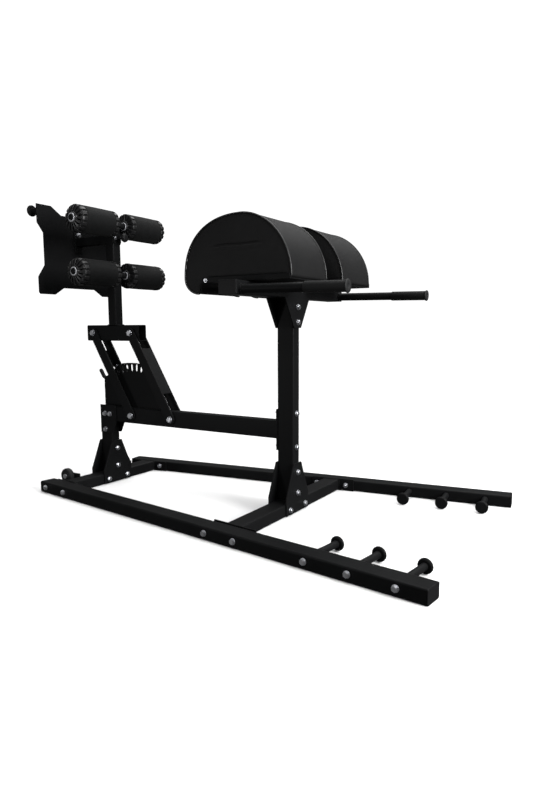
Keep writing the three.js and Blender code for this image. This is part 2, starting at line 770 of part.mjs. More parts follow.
// A link: two flat bars outside the beam, joined by a web plate at one edge
function link(webSide, webStart, webEnd) {
  const half = linkWidth / 2;
  const outline = [
    ...arc(0, 0, half, Math.PI, 2 * Math.PI, endSteps),
    ...arc(0, linkLength, half, 0, Math.PI, endSteps),
  ];
  const holes = [0, linkLength].map((z) => circle(0, z, pivotPin + 2 * pinPlay, rodSides));
  const bars = [
    prism("y", outline, -linkOuter, -linkInner, holes),
    prism("y", outline, linkInner, linkOuter, holes),
  ];
  const middle = webSide * (half - webThick / 2);
  const webOutline = rectangle(middle, (webStart + webEnd) / 2, webThick, webEnd - webStart);
  return join(...bars, prism("y", webOutline, -linkInner - weld, linkInner + weld));
}

function addLinks() {
  const housing = prism("y", circle(pinOffsetX, pinOffsetZ, selectorHousing, rodSides), linkInner, linkOuter + selectorHousingOut);
  const bore = prism("y", circle(pinOffsetX, pinOffsetZ, selectorPin + 2 * pinPlay, pinSides), 0, linkOuter + selectorHousingOut + overrun);
  const rear = cut(link(-1, rearWebStart, rearWebEnd).add(solidOf(housing)), bore);
  add(rearLinkFrame, "rear_link", rear, frameBlack);
  add(frontLinkFrame, "front_link", link(1, frontWebStart, frontWebEnd), frameBlack);
}

// The four pivot bolts, each with a head and a nut outside the links
function addPivotBolts() {
  const seat = linkOuter + pivotWasherGap;
  const end = seat + pivotHeadThick;
  const profile = [
    [0, -end],
    [pivotHead / 2, -end],
    [pivotHead / 2, -seat],
    [pivotPin / 2, -seat],
    [pivotPin / 2, seat],
    [pivotHead / 2, seat],
    [pivotHead / 2, end],
    [0, end],
  ];
  const places = {
    lower_rear: [rearPivotX, pivotHeight],
    lower_front: [rearPivotX + pivotSpacing, pivotHeight],
    upper_rear: [upperPivotX, upperPivotZ],
    upper_front: [upperPivotX + pivotSpacing, upperPivotZ],
  };
  for (const [name, [x, z]] of Object.entries(places)) {
    add(machine, `pivot_bolt_${name}`, moved(turned("y", profile, pinSides), x, 0, z), zincSteel);
  }
}

// The post's own frame has its origin midway between the two upper pivots
const footFrame = new THREE.Group();
footFrame.position.set(footPostX, 0, upperPivotZ);
machine.add(footFrame);
const axleHeights = [axleLowHeight, axleLowHeight + axlePitch];
const axleX = tubeShort / 2 + axleDiameter / 2 - axleSunk;

function addFootFrame() {
  const half = footBracketLong / 2;
  const top = tubeLong / 2;
  const bracket = tube("x", 0, 0, tubeShort, tubeLong, tubeWall, tubeCorner, -half, half);
  const post = tube("z", 0, 0, tubeShort, tubeShort, tubeWall, tubeCorner, top - weld, top + footPostHigh);
  const sleeve = prism("x", rectangle(0, slideHeight, tubeShort, tubeShort), -tubeShort / 2 - sleeveBehindPost, tubeShort / 2 - fit);
  const axles = axleHeights.map((z) => prism("y", circle(axleX, z, axleDiameter, rodSides), -axleHalf, axleHalf));
  const channel = slideTube + 2 * slidePlay;
  const slideBore = prism("x", rectangle(0, slideHeight, channel, channel), -tubeShort - sleeveBehindPost, tubeShort);
  const pivots = [-1, 1].map((end) => pivotBore((end * pivotSpacing) / 2, 0));
  add(footFrame, "foot_frame", cut(join(bracket, post, sleeve, ...axles), slideBore, ...pivots), frameBlack);
}

// A roller: a foam sleeve on a plastic hub whose outer cap carries radial fins
function hubSolid() {
  const bore = (axleDiameter + hubBoreGap) / 2;
  const [core, face, rim] = [hubDiameter / 2, capFaceDiameter / 2, capDiameter / 2];
  const inner = rollerInner - fit;
  const outer = rollerInner + rollerLength + fit;
  const core1 = [
    [bore, inner - capInnerDeep],
    [face, inner - capInnerDeep],
    [face, inner - capPlateThick],
    [rim, inner - capPlateThick],
    [rim, inner],
    [core, inner],
    [core, outer],
    [rim, outer],
    [rim, outer + capPlateThick],
    [face, outer + capPlateThick],
    [face, outer + capOuterDeep],
    [bore, outer + capOuterDeep],
    [bore, inner - capInnerDeep],
  ];
  const fins = [];
  for (let i = 0; i < capFinCount; i++) {
    const angle = (2 * Math.PI * i) / capFinCount;
    const finOutline = rectangle((face + rim) / 2, 0, rim - face + 2 * weld, capFinThick);
    fins.push(prism("y", finOutline, outer + weld, outer + capOuterDeep - 2 * weld).rotateY(angle));
  }
  const blank = turned("y", core1, rollerSides);
  const round = prism("y", circle(0, 0, capDiameter, rollerSides), inner - capInnerDeep, outer + capOuterDeep);
  return join(blank, ...fins).intersect(solidOf(round));
}

function foamProfile() {
  const [hole, skin] = [hubDiameter / 2 + fit, rollerDiameter / 2];
  const [inner, outer] = [rollerInner, rollerInner + rollerLength];
  return [
    [hole, inner],
    [skin - rollerRound, inner],
    ...arc(skin - rollerRound, inner + rollerRound, rollerRound, -Math.PI / 2, 0, cornerSteps).slice(1),
    ...arc(skin - rollerRound, outer - rollerRound, rollerRound, 0, Math.PI / 2, cornerSteps),
    [hole, outer],
    [hole, inner],
  ];
}

function addRollers() {
  const hub = geometryOf(hubSolid());
  const hubTurned = hub.clone().rotateZ(Math.PI);
  const levels = { lower: axleHeights[0], upper: axleHeights[1] };
  for (const [level, z] of Object.entries(levels)) {
    for (const name of Object.keys(sides)) {
      const foam = turned("y", towards(sides[name], foamProfile()), rollerSides);
      add(footFrame, `roller_foam_${level}_${name}`, moved(foam, axleX, 0, z), foamBlack);
      const spool = sides[name] > 0 ? hub : hubTurned;
      add(footFrame, `roller_hub_${level}_${name}`, moved(spool, axleX, 0, z), plasticBlack);
    }
  }
}

// The foot plate, its slide through the post and the knob at the slide's front end
const slideFrame = new THREE.Group();
slideFrame.position.set(0, 0, slideHeight);
footFrame.add(slideFrame);
const stopX = tubeShort / 2 + fit;

function addSlide() {
  const plateFront = -plateBehindPost;
  const flangeStart = plateFront + fit;
  const flangeEnd = flangeStart + slideFlangeThick;
  const inside = rectangle(0, 0, slideTube - 2 * slideWall, slideTube - 2 * slideWall);
  const bolts = [-1, 1].map((end) => circle(0, end * slideFlangeBolt, boltHole, holeSides));
  const flange = prism("x", rectangle(0, 0, slideFlangeWide, slideFlangeHigh), flangeStart, flangeEnd, [inside, ...bolts]);
  const run = prism("x", rectangle(0, 0, slideTube, slideTube), flangeEnd - weld, stopX + weld, [inside]);
  const stopHole = circle(0, 0, knobStem + 2 * pinPlay, pinSides);
  const stop = prism("x", roundRectangle(0, 0, slideStop, slideStop, tubeCorner), stopX, stopX + slideStopThick, [stopHole]);
  add(slideFrame, "slide_tube", join(flange, run, stop), frameBlack);
  const stopFace = stopX + slideStopThick;
  const knobFoot = stopFace + knobStart;
  const knobEnd = knobFoot + knobLong;
  const crown = knobLong / 3;
  const knob = turned(
    "x",
    [
      [0, stopFace - knobStemInside],
      [knobStem / 2, stopFace - knobStemInside],
      [knobStem / 2, knobFoot],
      [knobNeck / 2, knobFoot],
      [knobNeck / 2, knobFoot + crown / 2],
      [knobDiameter / 2, knobFoot + crown],
      [knobDiameter / 2, knobEnd - crown],
      [knobDiameter / 2 - crown / 2, knobEnd - crown / 4],
      [0, knobEnd],
    ],
    rodSides,
  );
  add(slideFrame, "clamp_knob", knob, plasticBlack);
}

function addFootPlate() {
  const right = [
    [footPlateNotchHalf, -footPlateNotchBottom],
    [footPlateBottomHalf, -footPlateBottom],
    [footPlateHalf - footPlateChamfer, -footPlateBottom],
    [footPlateHalf, -footPlateChamferBottom],
    [footPlateHalf, -footPlateLobeTop],
    [footPlateWaistHalf, -footPlateWaistBottom],
    [footPlateWaistHalf, footPlateWaistTop],
    [footPlateEarHalf, footPlateEarBottom],
    [footPlateEarHalf, footPlateTop],
    [footPlateTopHalf, footPlateTop],
    [footPlateNotchHalf, footPlateNotchTop],
  ];
  const left = right.map(([y, z]) => [-y, z]).reverse();
  const bolts = [-1, 1].map((end) => circle(0, end * slideFlangeBolt, boltHole, holeSides));
  const front = -plateBehindPost;
  const plate = prism("x", [...right, ...left], front - footPlateThick, front, bolts);
  add(slideFrame, "foot_plate", plate, frameBlack);
  const z = footPlateTop - footPegDrop;
  for (const name of Object.keys(sides)) {
    const peg = turned("x", mirrored(pegProfile(footPegReach)), rodSides);
    add(slideFrame, `foot_peg_${name}`, moved(peg, front - footPlateThick, sides[name] * footPegOut, z), frameBlack);
  }
}

// The selector plate on the beam, and the pin on the rear link that drops into its slots
function slotOutline(angle) {
  const half = slotWide / 2;
  const run = slotLong / 2 - half;
  const ends = [
    ...arc(0, slotRadius + run, half, 0, Math.PI, endSteps / 2),
    ...arc(0, slotRadius - run, half, Math.PI, 2 * Math.PI, endSteps / 2),
  ];
  const [c, s] = [Math.cos(angle), Math.sin(angle)];
  return ends.map(([x, z]) => [rearPivotX + x * c - z * s, pivotHeight + x * s + z * c]);
}

function addSelectorPlate() {
  const foot = beamUnderside + beamHigh + fit;
  const rear = rearPivotX - selectorRear;
  const centreX = rearPivotX - selectorArchBack;
  const centreZ = pivotHeight - selectorArchDepth;
  const angleAt = (x) => Math.acos((x - centreX) / selectorArchRadius);
  const [start, end] = [angleAt(rearPivotX - selectorArchStart), angleAt(rearPivotX + selectorArchEnd)];
  const outline = [
    [rear, foot],
    [rearPivotX + selectorFront, foot],
    ...arc(centreX, centreZ, selectorArchRadius, end, start, archSteps),
    [rear, pivotHeight + selectorRearHigh],
  ];
  const first = linkLean - selectorPinLead;
  const slots = Array.from({ length: slotCount }, (_, i) => slotOutline(THREE.MathUtils.degToRad(first - i * slotPitch)));
  add(machine, "selector_plate", prism("y", outline, -selectorThick / 2, selectorThick / 2, slots), frameBlack);
}

function addSelectorPin() {
  const nose = selectorThick / 2 + selectorNoseGap;
  const handleY = linkOuter + selectorHousingOut + selectorHandleOut;
  const pin = moved(prism("y", circle(0, 0, selectorPin, pinSides), nose, handleY), pinOffsetX, 0, pinOffsetZ);
  const upright = new THREE.Group();
  upright.position.set(pinOffsetX, 0, pinOffsetZ);
  upright.rotation.y = lean;
  upright.updateMatrix();
  const route = new THREE.CatmullRomCurve3([
    new THREE.Vector3(selectorHandle / 2, handleY, 0),
    new THREE.Vector3(-selectorHandleBack / 2, handleY, -selectorHandleDrop),
    new THREE.Vector3(-selectorHandleBack, handleY, -selectorHandleDrop),
    new THREE.Vector3(-selectorHandleBack - selectorTipBack, handleY, selectorTipRise - selectorHandleDrop),
  ]);
  const section = new THREE.Shape(circle(0, 0, selectorHandle, holeSides).map(([x, y]) => new THREE.Vector2(x, y)));
  const rod = new THREE.ExtrudeGeometry(section, { steps: rodSteps, bevelEnabled: false, extrudePath: route });
  const tip = new THREE.SphereGeometry(selectorHandle / 2, holeSides, endSteps);
  const tipPlace = route.getPoint(1);
  const handle = [rod, moved(tip, tipPlace.x, tipPlace.y, tipPlace.z)];
  const turnedHandle = handle.map((piece) => piece.applyMatrix4(upright.matrix));
  add(rearLinkFrame, "selector_pin", join(pin, ...turnedHandle), zincSteel);
}

for (const name of Object.keys(sides)) {
  addRail(name);
  addBandPegs(name);
  addWheel(name);
}
addCrossMembers();
addPosts();
addBeam();
addGussets();
addTailPlates();
addHandles();
addPads();
addLinks();
addPivotBolts();
addFootFrame();
addRollers();
addSlide();
addFootPlate();
addSelectorPlate();
addSelectorPin();

export default machine;
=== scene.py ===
"""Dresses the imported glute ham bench: coated steel, zinc bolts, stitched hip pads, foam rollers
and a plain studio. Lengths are in metres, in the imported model's own frame."""
import json
import math

import bmesh
import bpy
from bpy.props import FloatProperty, FloatVectorProperty, IntProperty, PointerProperty
from bpy.types import Operator, Panel, PropertyGroup
from mathutils import Matrix, Vector
from mathutils.bvhtree import BVHTree
from mathutils.kdtree import KDTree

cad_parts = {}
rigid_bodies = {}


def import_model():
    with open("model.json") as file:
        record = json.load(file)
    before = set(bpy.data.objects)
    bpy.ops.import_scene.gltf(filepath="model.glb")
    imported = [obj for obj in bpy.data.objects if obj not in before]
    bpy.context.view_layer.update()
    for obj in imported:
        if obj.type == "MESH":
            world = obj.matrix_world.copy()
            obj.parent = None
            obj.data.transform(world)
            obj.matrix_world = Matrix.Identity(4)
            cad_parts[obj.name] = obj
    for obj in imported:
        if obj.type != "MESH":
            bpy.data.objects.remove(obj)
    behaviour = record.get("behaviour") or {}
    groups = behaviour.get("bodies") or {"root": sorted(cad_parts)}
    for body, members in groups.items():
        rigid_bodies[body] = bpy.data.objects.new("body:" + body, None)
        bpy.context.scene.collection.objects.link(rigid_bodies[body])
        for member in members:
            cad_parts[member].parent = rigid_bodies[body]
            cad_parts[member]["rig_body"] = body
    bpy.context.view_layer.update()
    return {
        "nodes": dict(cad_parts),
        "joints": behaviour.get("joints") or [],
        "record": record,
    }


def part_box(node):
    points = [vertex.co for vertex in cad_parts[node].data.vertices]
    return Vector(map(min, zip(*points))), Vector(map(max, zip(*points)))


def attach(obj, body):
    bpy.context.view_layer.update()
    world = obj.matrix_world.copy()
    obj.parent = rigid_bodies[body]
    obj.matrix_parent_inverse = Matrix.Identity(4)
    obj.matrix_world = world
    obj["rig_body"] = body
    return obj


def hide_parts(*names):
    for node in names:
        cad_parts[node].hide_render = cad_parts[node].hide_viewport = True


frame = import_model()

bl_info = {
    "name": "Glute Ham Bench Dressing",
    "version": (1, 0, 0),
    "blender": (4, 5, 0),
    "location": "View3D > Sidebar > Bench",
    "description": "Dresses a packed glute ham bench with finishes, fasteners, welds and padding",
    "category": "Object",
}

MM = 0.001
SIDES = {"near": -1, "far": 1}
LEVELS = ("lower", "upper")
X_WAY, Y_WAY, Z_WAY = Vector((1, 0, 0)), Vector((0, 1, 0)), Vector((0, 0, 1))
SLOTS = {row["node"]: row["material_slot"] for row in frame["record"]["subparts"]}
COAT, ZINC = "powder_coat_black", "zinc_plate"


def length(name, default, description):
    return FloatProperty(name=name, description=description, default=default, unit="LENGTH", precision=5)


def share(name, default, description):
    return FloatProperty(name=name, description=description, default=default, min=0, max=1)


def strength(name, default, description):
    return FloatProperty(name=name, description=description, default=default, min=0)


def colour(name, default, description):
    return FloatVectorProperty(name=name, description=description, default=default, subtype="COLOR",
                               min=0, max=1)


class BENCH_PG_finishes(PropertyGroup):
    coat: colour("Powder coat", (0.0066, 0.0068, 0.0071), "Colour of the coated steel")
    coat_roughness: share("Coat roughness", 0.43, "How matt the powder coat is")
    gloss: share("Gloss", 0.06, "How strongly the black coats and covers mirror the room")
    zinc: colour("Zinc", (0.62, 0.63, 0.66), "Colour of the plated bolts")
    vinyl: colour("Vinyl", (0.0108, 0.0108, 0.0110), "Colour of the pad covers")
    vinyl_roughness: share("Vinyl roughness", 0.47, "How matt the pad covers are")
    foam: colour("Foam", (0.0062, 0.0064, 0.0065), "Colour of the roller sleeves")
    plastic: colour("Plastic", (0.0066, 0.0066, 0.0070), "Colour of the moulded caps")
    rubber: colour("Rubber", (0.0090, 0.0092, 0.0095), "Colour of the grips and wheels")
    thread: colour("Thread", (0.012, 0.012, 0.0125), "Colour of the pad stitching")


class BENCH_PG_pads(PropertyGroup):
    front_in: length("Front seam", 0.005, "The seams' front inside the pad's own size")
    crown_in: length("Crown seam", 0.001, "The seams' top inside the pad's own size")
    nose_out: length("Nose", 0.0035, "How far the rear nose reaches past the plain form")
    crown_swell: length("Crown swell", 0.0035, "Most that the crown panel may move in the simulation")
    side_swell: length("Side swell", 0.0055, "Most that a side panel may move in the simulation")
    seam_reach: length("Seam reach", 0.045, "Distance from a seam at which the swell is full")
    front_round: length("Front round", 0.008, "Radius of the cover's edge under the front lip")
    voxel: length("Voxel", 0.0055, "Remesh size before the simulation")
    cord: length("Welt cord", 0.0054, "Diameter of the welt along the seams")
    stitch_pitch: length("Stitch pitch", 0.0062, "Distance from stitch to stitch")
    stitch_length: length("Stitch length", 0.0046, "Length of one stitch")
    stitch_thread: length("Stitch thread", 0.0009, "Diameter of the thread")
    stitch_inset: length("Stitch inset", 0.0075, "Welt to the row of stitches")
    crease: length("Crease", 0.0045, "Depth of the soft crease in the side panel")


class BENCH_PG_rollers(PropertyGroup):
    petals: IntProperty(name="Petals", description="Petals of each end cap", default=15, min=3)
    petal_root: length("Petal root", 0.0058, "Width of a petal at the cap's middle")
    petal_tip: length("Petal tip", 0.0155, "Width of a petal at the rim")
    petal_fold: length("Petal fold", 0.021, "How far the petals reach over the foam's edge")
    petal_thick: length("Petal thickness", 0.0030, "Thickness of a petal where it lies on the foam")
    boss: length("Boss", 0.054, "Diameter of the cap's middle")
    ring: length("Ring", 0.0376, "Outside diameter of the plated ring")
    ring_hole: length("Ring hole", 0.0286, "Diameter of the ring's hole round the axle")
    ring_thick: length("Ring thickness", 0.003, "Thickness of the plated ring")


class BENCH_PG_fasteners(PropertyGroup):
    flats: length("Across flats", 0.018, "Width of the hexagon of a frame bolt")
    head: length("Head height", 0.0075, "Height of a bolt's head")
    washer: length("Washer", 0.024, "Diameter of the washer")
    washer_thick: length("Washer thickness", 0.0022, "Thickness of the washer")
    shank: length("Shank", 0.0118, "Diameter of the bolt")
    thread_out: length("Thread end", 0.004, "Thread that stands out of the nut")


class BENCH_PG_welds(PropertyGroup):
    bead: length("Bead", 0.0056, "Width of a weld bead")
    ripple: length("Ripple", 0.0024, "Distance between the ripples of a bead")


class BENCH_PG_stage(PropertyGroup):
    reach: length("Reach", 30.0, "Radius of the floor and the backdrop")
    sun_power: strength("Overhead light", 3.7, "Strength of the broad light above")
    sun_spread: FloatProperty(name="Overhead spread", description="Width of that light in the sky",
                              default=math.radians(75), subtype="ANGLE")
    side_power: strength("Side light", 300, "Power of the softbox at the handle end")
    glint_power: strength("Glint light", 26, "Power of the lamps that the zinc mirrors")
    room: strength("Room", 0.11, "Brightness of the room round the bench")


SETTINGS = {
    "bench_finishes": BENCH_PG_finishes,
    "bench_pads": BENCH_PG_pads,
    "bench_rollers": BENCH_PG_rollers,
    "bench_fasteners": BENCH_PG_fasteners,
    "bench_welds": BENCH_PG_welds,
    "bench_stage": BENCH_PG_stage,
}


def settings(name):
    return getattr(bpy.context.scene, name)


def set_all(target, **values):
    for name, value in values.items():
        setattr(target, name, value)
    return target


# Materials. Patterns read Object coordinates, which are metres on every piece.
class NodeTree:
    """Adds nodes to a tree and links them, so that a tree reads from top to bottom."""

    def __init__(self, tree):
        self.tree = tree

    def add(self, kind, options=None, **inputs):
        node = set_all(self.tree.nodes.new(kind), **(options or {}))
        self.feed(node, **inputs)
        return node

    def feed(self, node, **inputs):
        """Links or sets inputs by name. A name such as _1 is the input's number."""
        for name, value in inputs.items():
            socket = node.inputs[int(name[1:])] if name[0] == "_" else node.inputs[name.replace("_", " ")]
            if isinstance(value, bpy.types.NodeSocket):
                self.tree.links.new(value, socket)
            else:
                socket.default_value = value


def blank_material(name):
    """A new material with the builder of its nodes and its shader."""
    material = bpy.data.materials.new(name)
    material.use_nodes = True
    return material, NodeTree(material.node_tree), material.node_tree.nodes["Principled BSDF"]


# For each finish: its colour setting, roughness and the spread of it, mottling, patches and grains per
# metre, depth of the grain in mm, and what else it has. The gloss is in shares of the gloss setting.
FINISHES = {
    "powder_coat_black": ("coat", "coat_roughness", 0.05, 0.12, 9, 520, 0.05, {"gloss": 1}),
    "zinc_plate": ("zinc", 0.31, 0.1, 0.18, 60, 1400, 0.02, {"Metallic": 1.0}),
    "bright_plate": ("zinc", 0.34, 0.05, 0.1, 60, 1400, 0.02, {"Metallic": 0.35}),
    "pad_vinyl": ("vinyl", "vinyl_roughness", 0.04, 0.1, 7, 1500, 0.04, {"gloss": 1.6, "pebbles": 520}),
    "piping_vinyl": ("vinyl", 0.34, 0.04, 0.1, 7, 1500, 0.03, {}),
    "sewing_thread": ("thread", 0.6, 0.05, 0.2, 200, 3000, 0.04, {"gloss": 1}),
    "roller_foam_skin": ("foam", 0.72, 0.06, 0.14, 30, 1100, 0.2, {"gloss": 1.5, "Sheen_Weight": 0.02}),
    "moulded_plastic": ("plastic", 0.42, 0.05, 0.1, 25, 1800, 0.03, {"gloss": 2}),
    "petal_plastic": ("plastic", 0.36, 0.05, 0.1, 25, 1800, 0.03,
                      {"lighter": 1.3, "Specular_IOR_Level": 0.4}),
    "soft_rubber": ("rubber", 0.62, 0.06, 0.15, 20, 1300, 0.08, {"gloss": 4}),
}
PEBBLE_EDGE = 0.22  # where a vinyl pebble has its full height, from its edge, in shares of its size
PEBBLE_DEPTH = 0.12 * MM


def paint(name):
    """One of the bench's materials by its name, made when it is first asked for."""
    known = bpy.data.materials.get(name)
    if known:
        return known
    return stained_board() if name == "stained_board" else finish(name, *FINISHES[name])


def finish(name, tone, roughness, spread, mottle, patch, grain, depth, more):
    """A procedural finish: slow mottling of colour and roughness over a fine grain in the bump."""
    look = settings("bench_finishes")
    base = [c * more.get("lighter", 1) for c in getattr(look, tone)]
    if isinstance(roughness, str):
        roughness = getattr(look, roughness)
    material, nodes, shader = blank_material(name)
    material.diffuse_color = (*base, 1)
    place = nodes.add("ShaderNodeTexCoord").outputs["Object"]
    slow = nodes.add("ShaderNodeTexNoise", Vector=place, Scale=patch, Detail=4.0, Roughness=0.55)
    tint = nodes.add("ShaderNodeValToRGB", Fac=slow.outputs["Fac"])
    for stop, position, part in zip(tint.color_ramp.elements, (0.3, 0.7), (1 - mottle, 1 + mottle)):
        stop.position = position
        stop.color = (*(min(1, c * part) for c in base), 1)
    fine = nodes.add("ShaderNodeTexNoise", Vector=place, Scale=grain, Detail=3.0, Roughness=0.6)
    rough = nodes.add("ShaderNodeMapRange", Value=slow.outputs["Fac"], To_Min=roughness - spread,
                      To_Max=roughness + spread)
    bump = nodes.add("ShaderNodeBump", Height=fine.outputs["Fac"], Strength=1.0, Distance=depth * MM)
    if "pebbles" in more:
        hide = nodes.add("ShaderNodeTexVoronoi", {"feature": "DISTANCE_TO_EDGE"}, Vector=place,
                         Scale=more["pebbles"])
        pebble = nodes.add("ShaderNodeMapRange", Value=hide.outputs["Distance"], From_Max=PEBBLE_EDGE)
        bump = nodes.add("ShaderNodeBump", Height=pebble.outputs["Result"], Normal=bump.outputs["Normal"],
                         Strength=1.0, Distance=PEBBLE_DEPTH)
    nodes.feed(shader, Base_Color=tint.outputs["Color"], Roughness=rough.outputs["Result"],
               Normal=bump.outputs["Normal"])
    if "gloss" in more:
        nodes.feed(shader, Specular_IOR_Level=look.gloss * more["gloss"])
    nodes.feed(shader, **{key: value for key, value in more.items() if key[0].isupper()})
    return material


def stained_board():
    """Plywood stained dark, with its plies along Z."""
    material, nodes, shader = blank_material("stained_board")
    place = nodes.add("ShaderNodeTexCoord").outputs["Object"]
    plies = nodes.add("ShaderNodeMapping", Vector=place, Scale=(2.0, 9.0, 260.0))
    figure = nodes.add("ShaderNodeTexNoise", Vector=plies.outputs["Vector"], Scale=3.0, Detail=5.0,
                       Roughness=0.65)
    tint = nodes.add("ShaderNodeValToRGB", Fac=figure.outputs["Fac"])
    tint.color_ramp.elements[0].color = (0.010, 0.009, 0.008, 1)
    tint.color_ramp.elements[1].color = (0.034, 0.028, 0.022, 1)
    bump = nodes.add("ShaderNodeBump", Height=figure.outputs["Fac"], Strength=0.5, Distance=0.3 * MM)
    nodes.feed(shader, Base_Color=tint.outputs["Color"], Normal=bump.outputs["Normal"], Roughness=0.75)
    return material


# Mesh helpers
def in_scene(name, data):
    """A new object in the scene's own collection."""
    obj = bpy.data.objects.new(name, data)
    bpy.context.scene.collection.objects.link(obj)
    return obj


def mesh_from(name, bm):
    mesh = bpy.data.meshes.new(name)
    bm.to_mesh(mesh)
    bm.free()
    return mesh


def shade(mesh, crease=38.0):
    """Smooth shading with sharp edges wherever two faces meet at more than the crease angle."""
    bm = bmesh.new()
    bm.from_mesh(mesh)
    limit = math.radians(crease)
    for face in bm.faces:
        face.smooth = True
    for edge in bm.edges:
        edge.smooth = len(edge.link_faces) == 2 and edge.calc_face_angle(0) < limit
    bm.to_mesh(mesh)
    bm.free()
    return mesh


def piece(name, mesh, finish_name, body, slot, *nodes):
    """A finished piece: an object at the origin that rides on a body and may stand for CAD nodes."""
    obj = in_scene(name, mesh)
    obj.data.materials.clear()
    obj.data.materials.append(paint(finish_name))
    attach(obj, body)
    if nodes:
        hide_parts(*nodes)
    return obj


def body_of(node):
    return frame["nodes"][node]["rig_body"]


def dressed(node, ending, mesh, finish_name):
    """A piece that stands for one CAD node, on the node's own body."""
    return piece(f"{node}_{ending}", mesh, finish_name, body_of(node), SLOTS[node], node)


def middle(node):
    low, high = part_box(node)
    return (low + high) / 2


def joint_place(name):
    return Vector(next(j for j in frame["joints"] if j["name"] == name)["pos_m"])


def joined(name, meshes):
    """Several meshes as one, each closed in itself."""
    bm = bmesh.new()
    for mesh in meshes:
        bm.from_mesh(mesh)
    return mesh_from(name, bm)


AXES = {
    "x": Matrix(((0, 0, 1), (1, 0, 0), (0, 1, 0))).to_4x4(),
    "y": Matrix(((0, 1, 0), (0, 0, 1), (1, 0, 0))).to_4x4(),
    "z": Matrix.Identity(4),
}


def y_seat(x, y, z, side):
    """The matrix that takes a part made along Z to a place, turned to the far side or the near side."""
    turn = AXES["y"] if side > 0 else AXES["y"] @ Matrix.Rotation(math.pi, 4, "X")
    return Matrix.Translation((x, y, z)) @ turn


def circle(count, radius):
    turns = [2 * math.pi * i / count for i in range(count)]
    return [(radius * math.cos(t), radius * math.sin(t)) for t in turns]


def lathe(profile, count, axis="z", centre=(0, 0, 0), flip=1):
    """A turned mesh. Its profile is a list of (radius, place along the axis)."""
    bm = bmesh.new()
    closed = profile[0] == profile[-1]
    rings = []
    for radius, along in profile[:-1] if closed else profile:
        spots = [(0, 0)] if radius < 1e-7 else circle(count, radius)
        rings.append([bm.verts.new((x, y, along * flip)) for x, y in spots])
    for a, b in zip(rings, rings[1:] + (rings[:1] if closed else [])):
        for i in range(count):
            j = (i + 1) % count
            corners = [a[i % len(a)], a[j % len(a)], b[j % len(b)], b[i % len(b)]]
            face = [v for k, v in enumerate(corners) if v not in corners[:k]]
            if len(face) > 2:
                bm.faces.new(face)
    bmesh.ops.recalc_face_normals(bm, faces=bm.faces[:])
    bm.transform(Matrix.Translation(Vector(centre)) @ AXES[axis])
    return mesh_from("turned", bm)


def rounded(profile, radius, steps=3):
    """Rounds the inner corners of an open profile, by at most two fifths of the shorter side."""
    points = [Vector(p) for p in profile]
    out = [tuple(points[0])]
    for before, corner, after in zip(points, points[1:], points[2:]):
        reach = min(radius, (before - corner).length / 2.5, (after - corner).length / 2.5)
        start = corner + (before - corner).normalized() * reach
        end = corner + (after - corner).normalized() * reach
        for i in range(steps + 1):
            t = i / steps
            out.append(tuple(start * (1 - t) ** 2 + corner * 2 * t * (1 - t) + end * t ** 2))
    out.append(tuple(points[-1]))
    return out


def skinned(rings):
    """A closed form through rings of as many points, with a face at each end."""
    bm = bmesh.new()
    made = [[bm.verts.new(point) for point in ring] for ring in rings]
    count = len(made[0])
    for a, b in zip(made, made[1:]):
        for i in range(count):
            bm.faces.new((a[i], a[(i + 1) % count], b[(i + 1) % count], b[i]))
    bm.faces.new(made[0])
    bm.faces.new(made[-1])
    bmesh.ops.recalc_face_normals(bm, faces=bm.faces[:])
    return bm


def sweep(points, radius, count=12):
    """A round rod along open points, with closed ends."""
    path = [Vector(p) for p in points]
    heading = (path[1] - path[0]).normalized()
    side = heading.orthogonal().normalized()
    rings = []
    for i, point in enumerate(path):
        ahead = path[min(i + 1, len(path) - 1)] - path[max(i - 1, 0)]
        turn = heading.rotation_difference(ahead.normalized())
        side = (turn @ side).normalized()
        heading = ahead.normalized()
        other = heading.cross(side)
        rings.append([point + side * x + other * y for x, y in circle(count, radius)])
    return mesh_from("rod", skinned(rings))


def modify(obj, kind, **values):
    return set_all(obj.modifiers.new(kind.lower(), kind), **values)


def evaluated(obj):
    """The mesh that an object's modifiers give, as a plain mesh. The object is removed."""
    graph = bpy.context.evaluated_depsgraph_get()
    mesh = bpy.data.meshes.new_from_object(obj.evaluated_get(graph), preserve_all_data_layers=True,
                                           depsgraph=graph)
    bpy.data.objects.remove(obj)
    return mesh


def softened(mesh, width, steps=2, angle=50.0):
    """Rounds the sharp edges of a mesh and evens its shading."""
    obj = in_scene("carrier", mesh)
    for polygon in mesh.polygons:
        polygon.use_smooth = True
    modify(obj, "BEVEL", width=width, segments=steps, limit_method="ANGLE", angle_limit=math.radians(angle),
           use_clamp_overlap=False, miter_outer="MITER_ARC")
    modify(obj, "WEIGHTED_NORMAL")
    return evaluated(obj)


def clean_copy(node, flat=True):
    """A CAD node's solid as one welded mesh. Its flat faces are joined up unless flat is off."""
    source = frame["nodes"][node].data
    mesh = bpy.data.meshes.new(node)
    mesh.from_pydata([v.co[:] for v in source.vertices], [], [p.vertices[:] for p in source.polygons])
    bm = bmesh.new()
    bm.from_mesh(mesh)
    bmesh.ops.remove_doubles(bm, verts=bm.verts[:], dist=5e-6)
    if flat:
        bmesh.ops.dissolve_limit(bm, angle_limit=math.radians(0.6), verts=bm.verts[:], edges=bm.edges[:])
    bm.to_mesh(mesh)
    bm.free()
    return mesh


def rounded_copy(node, ending, finish_name, width, steps=2, angle=50.0):
    """A piece that is one CAD node with its sharp edges rounded."""
    return dressed(node, ending, softened(clean_copy(node), width, steps, angle), finish_name)


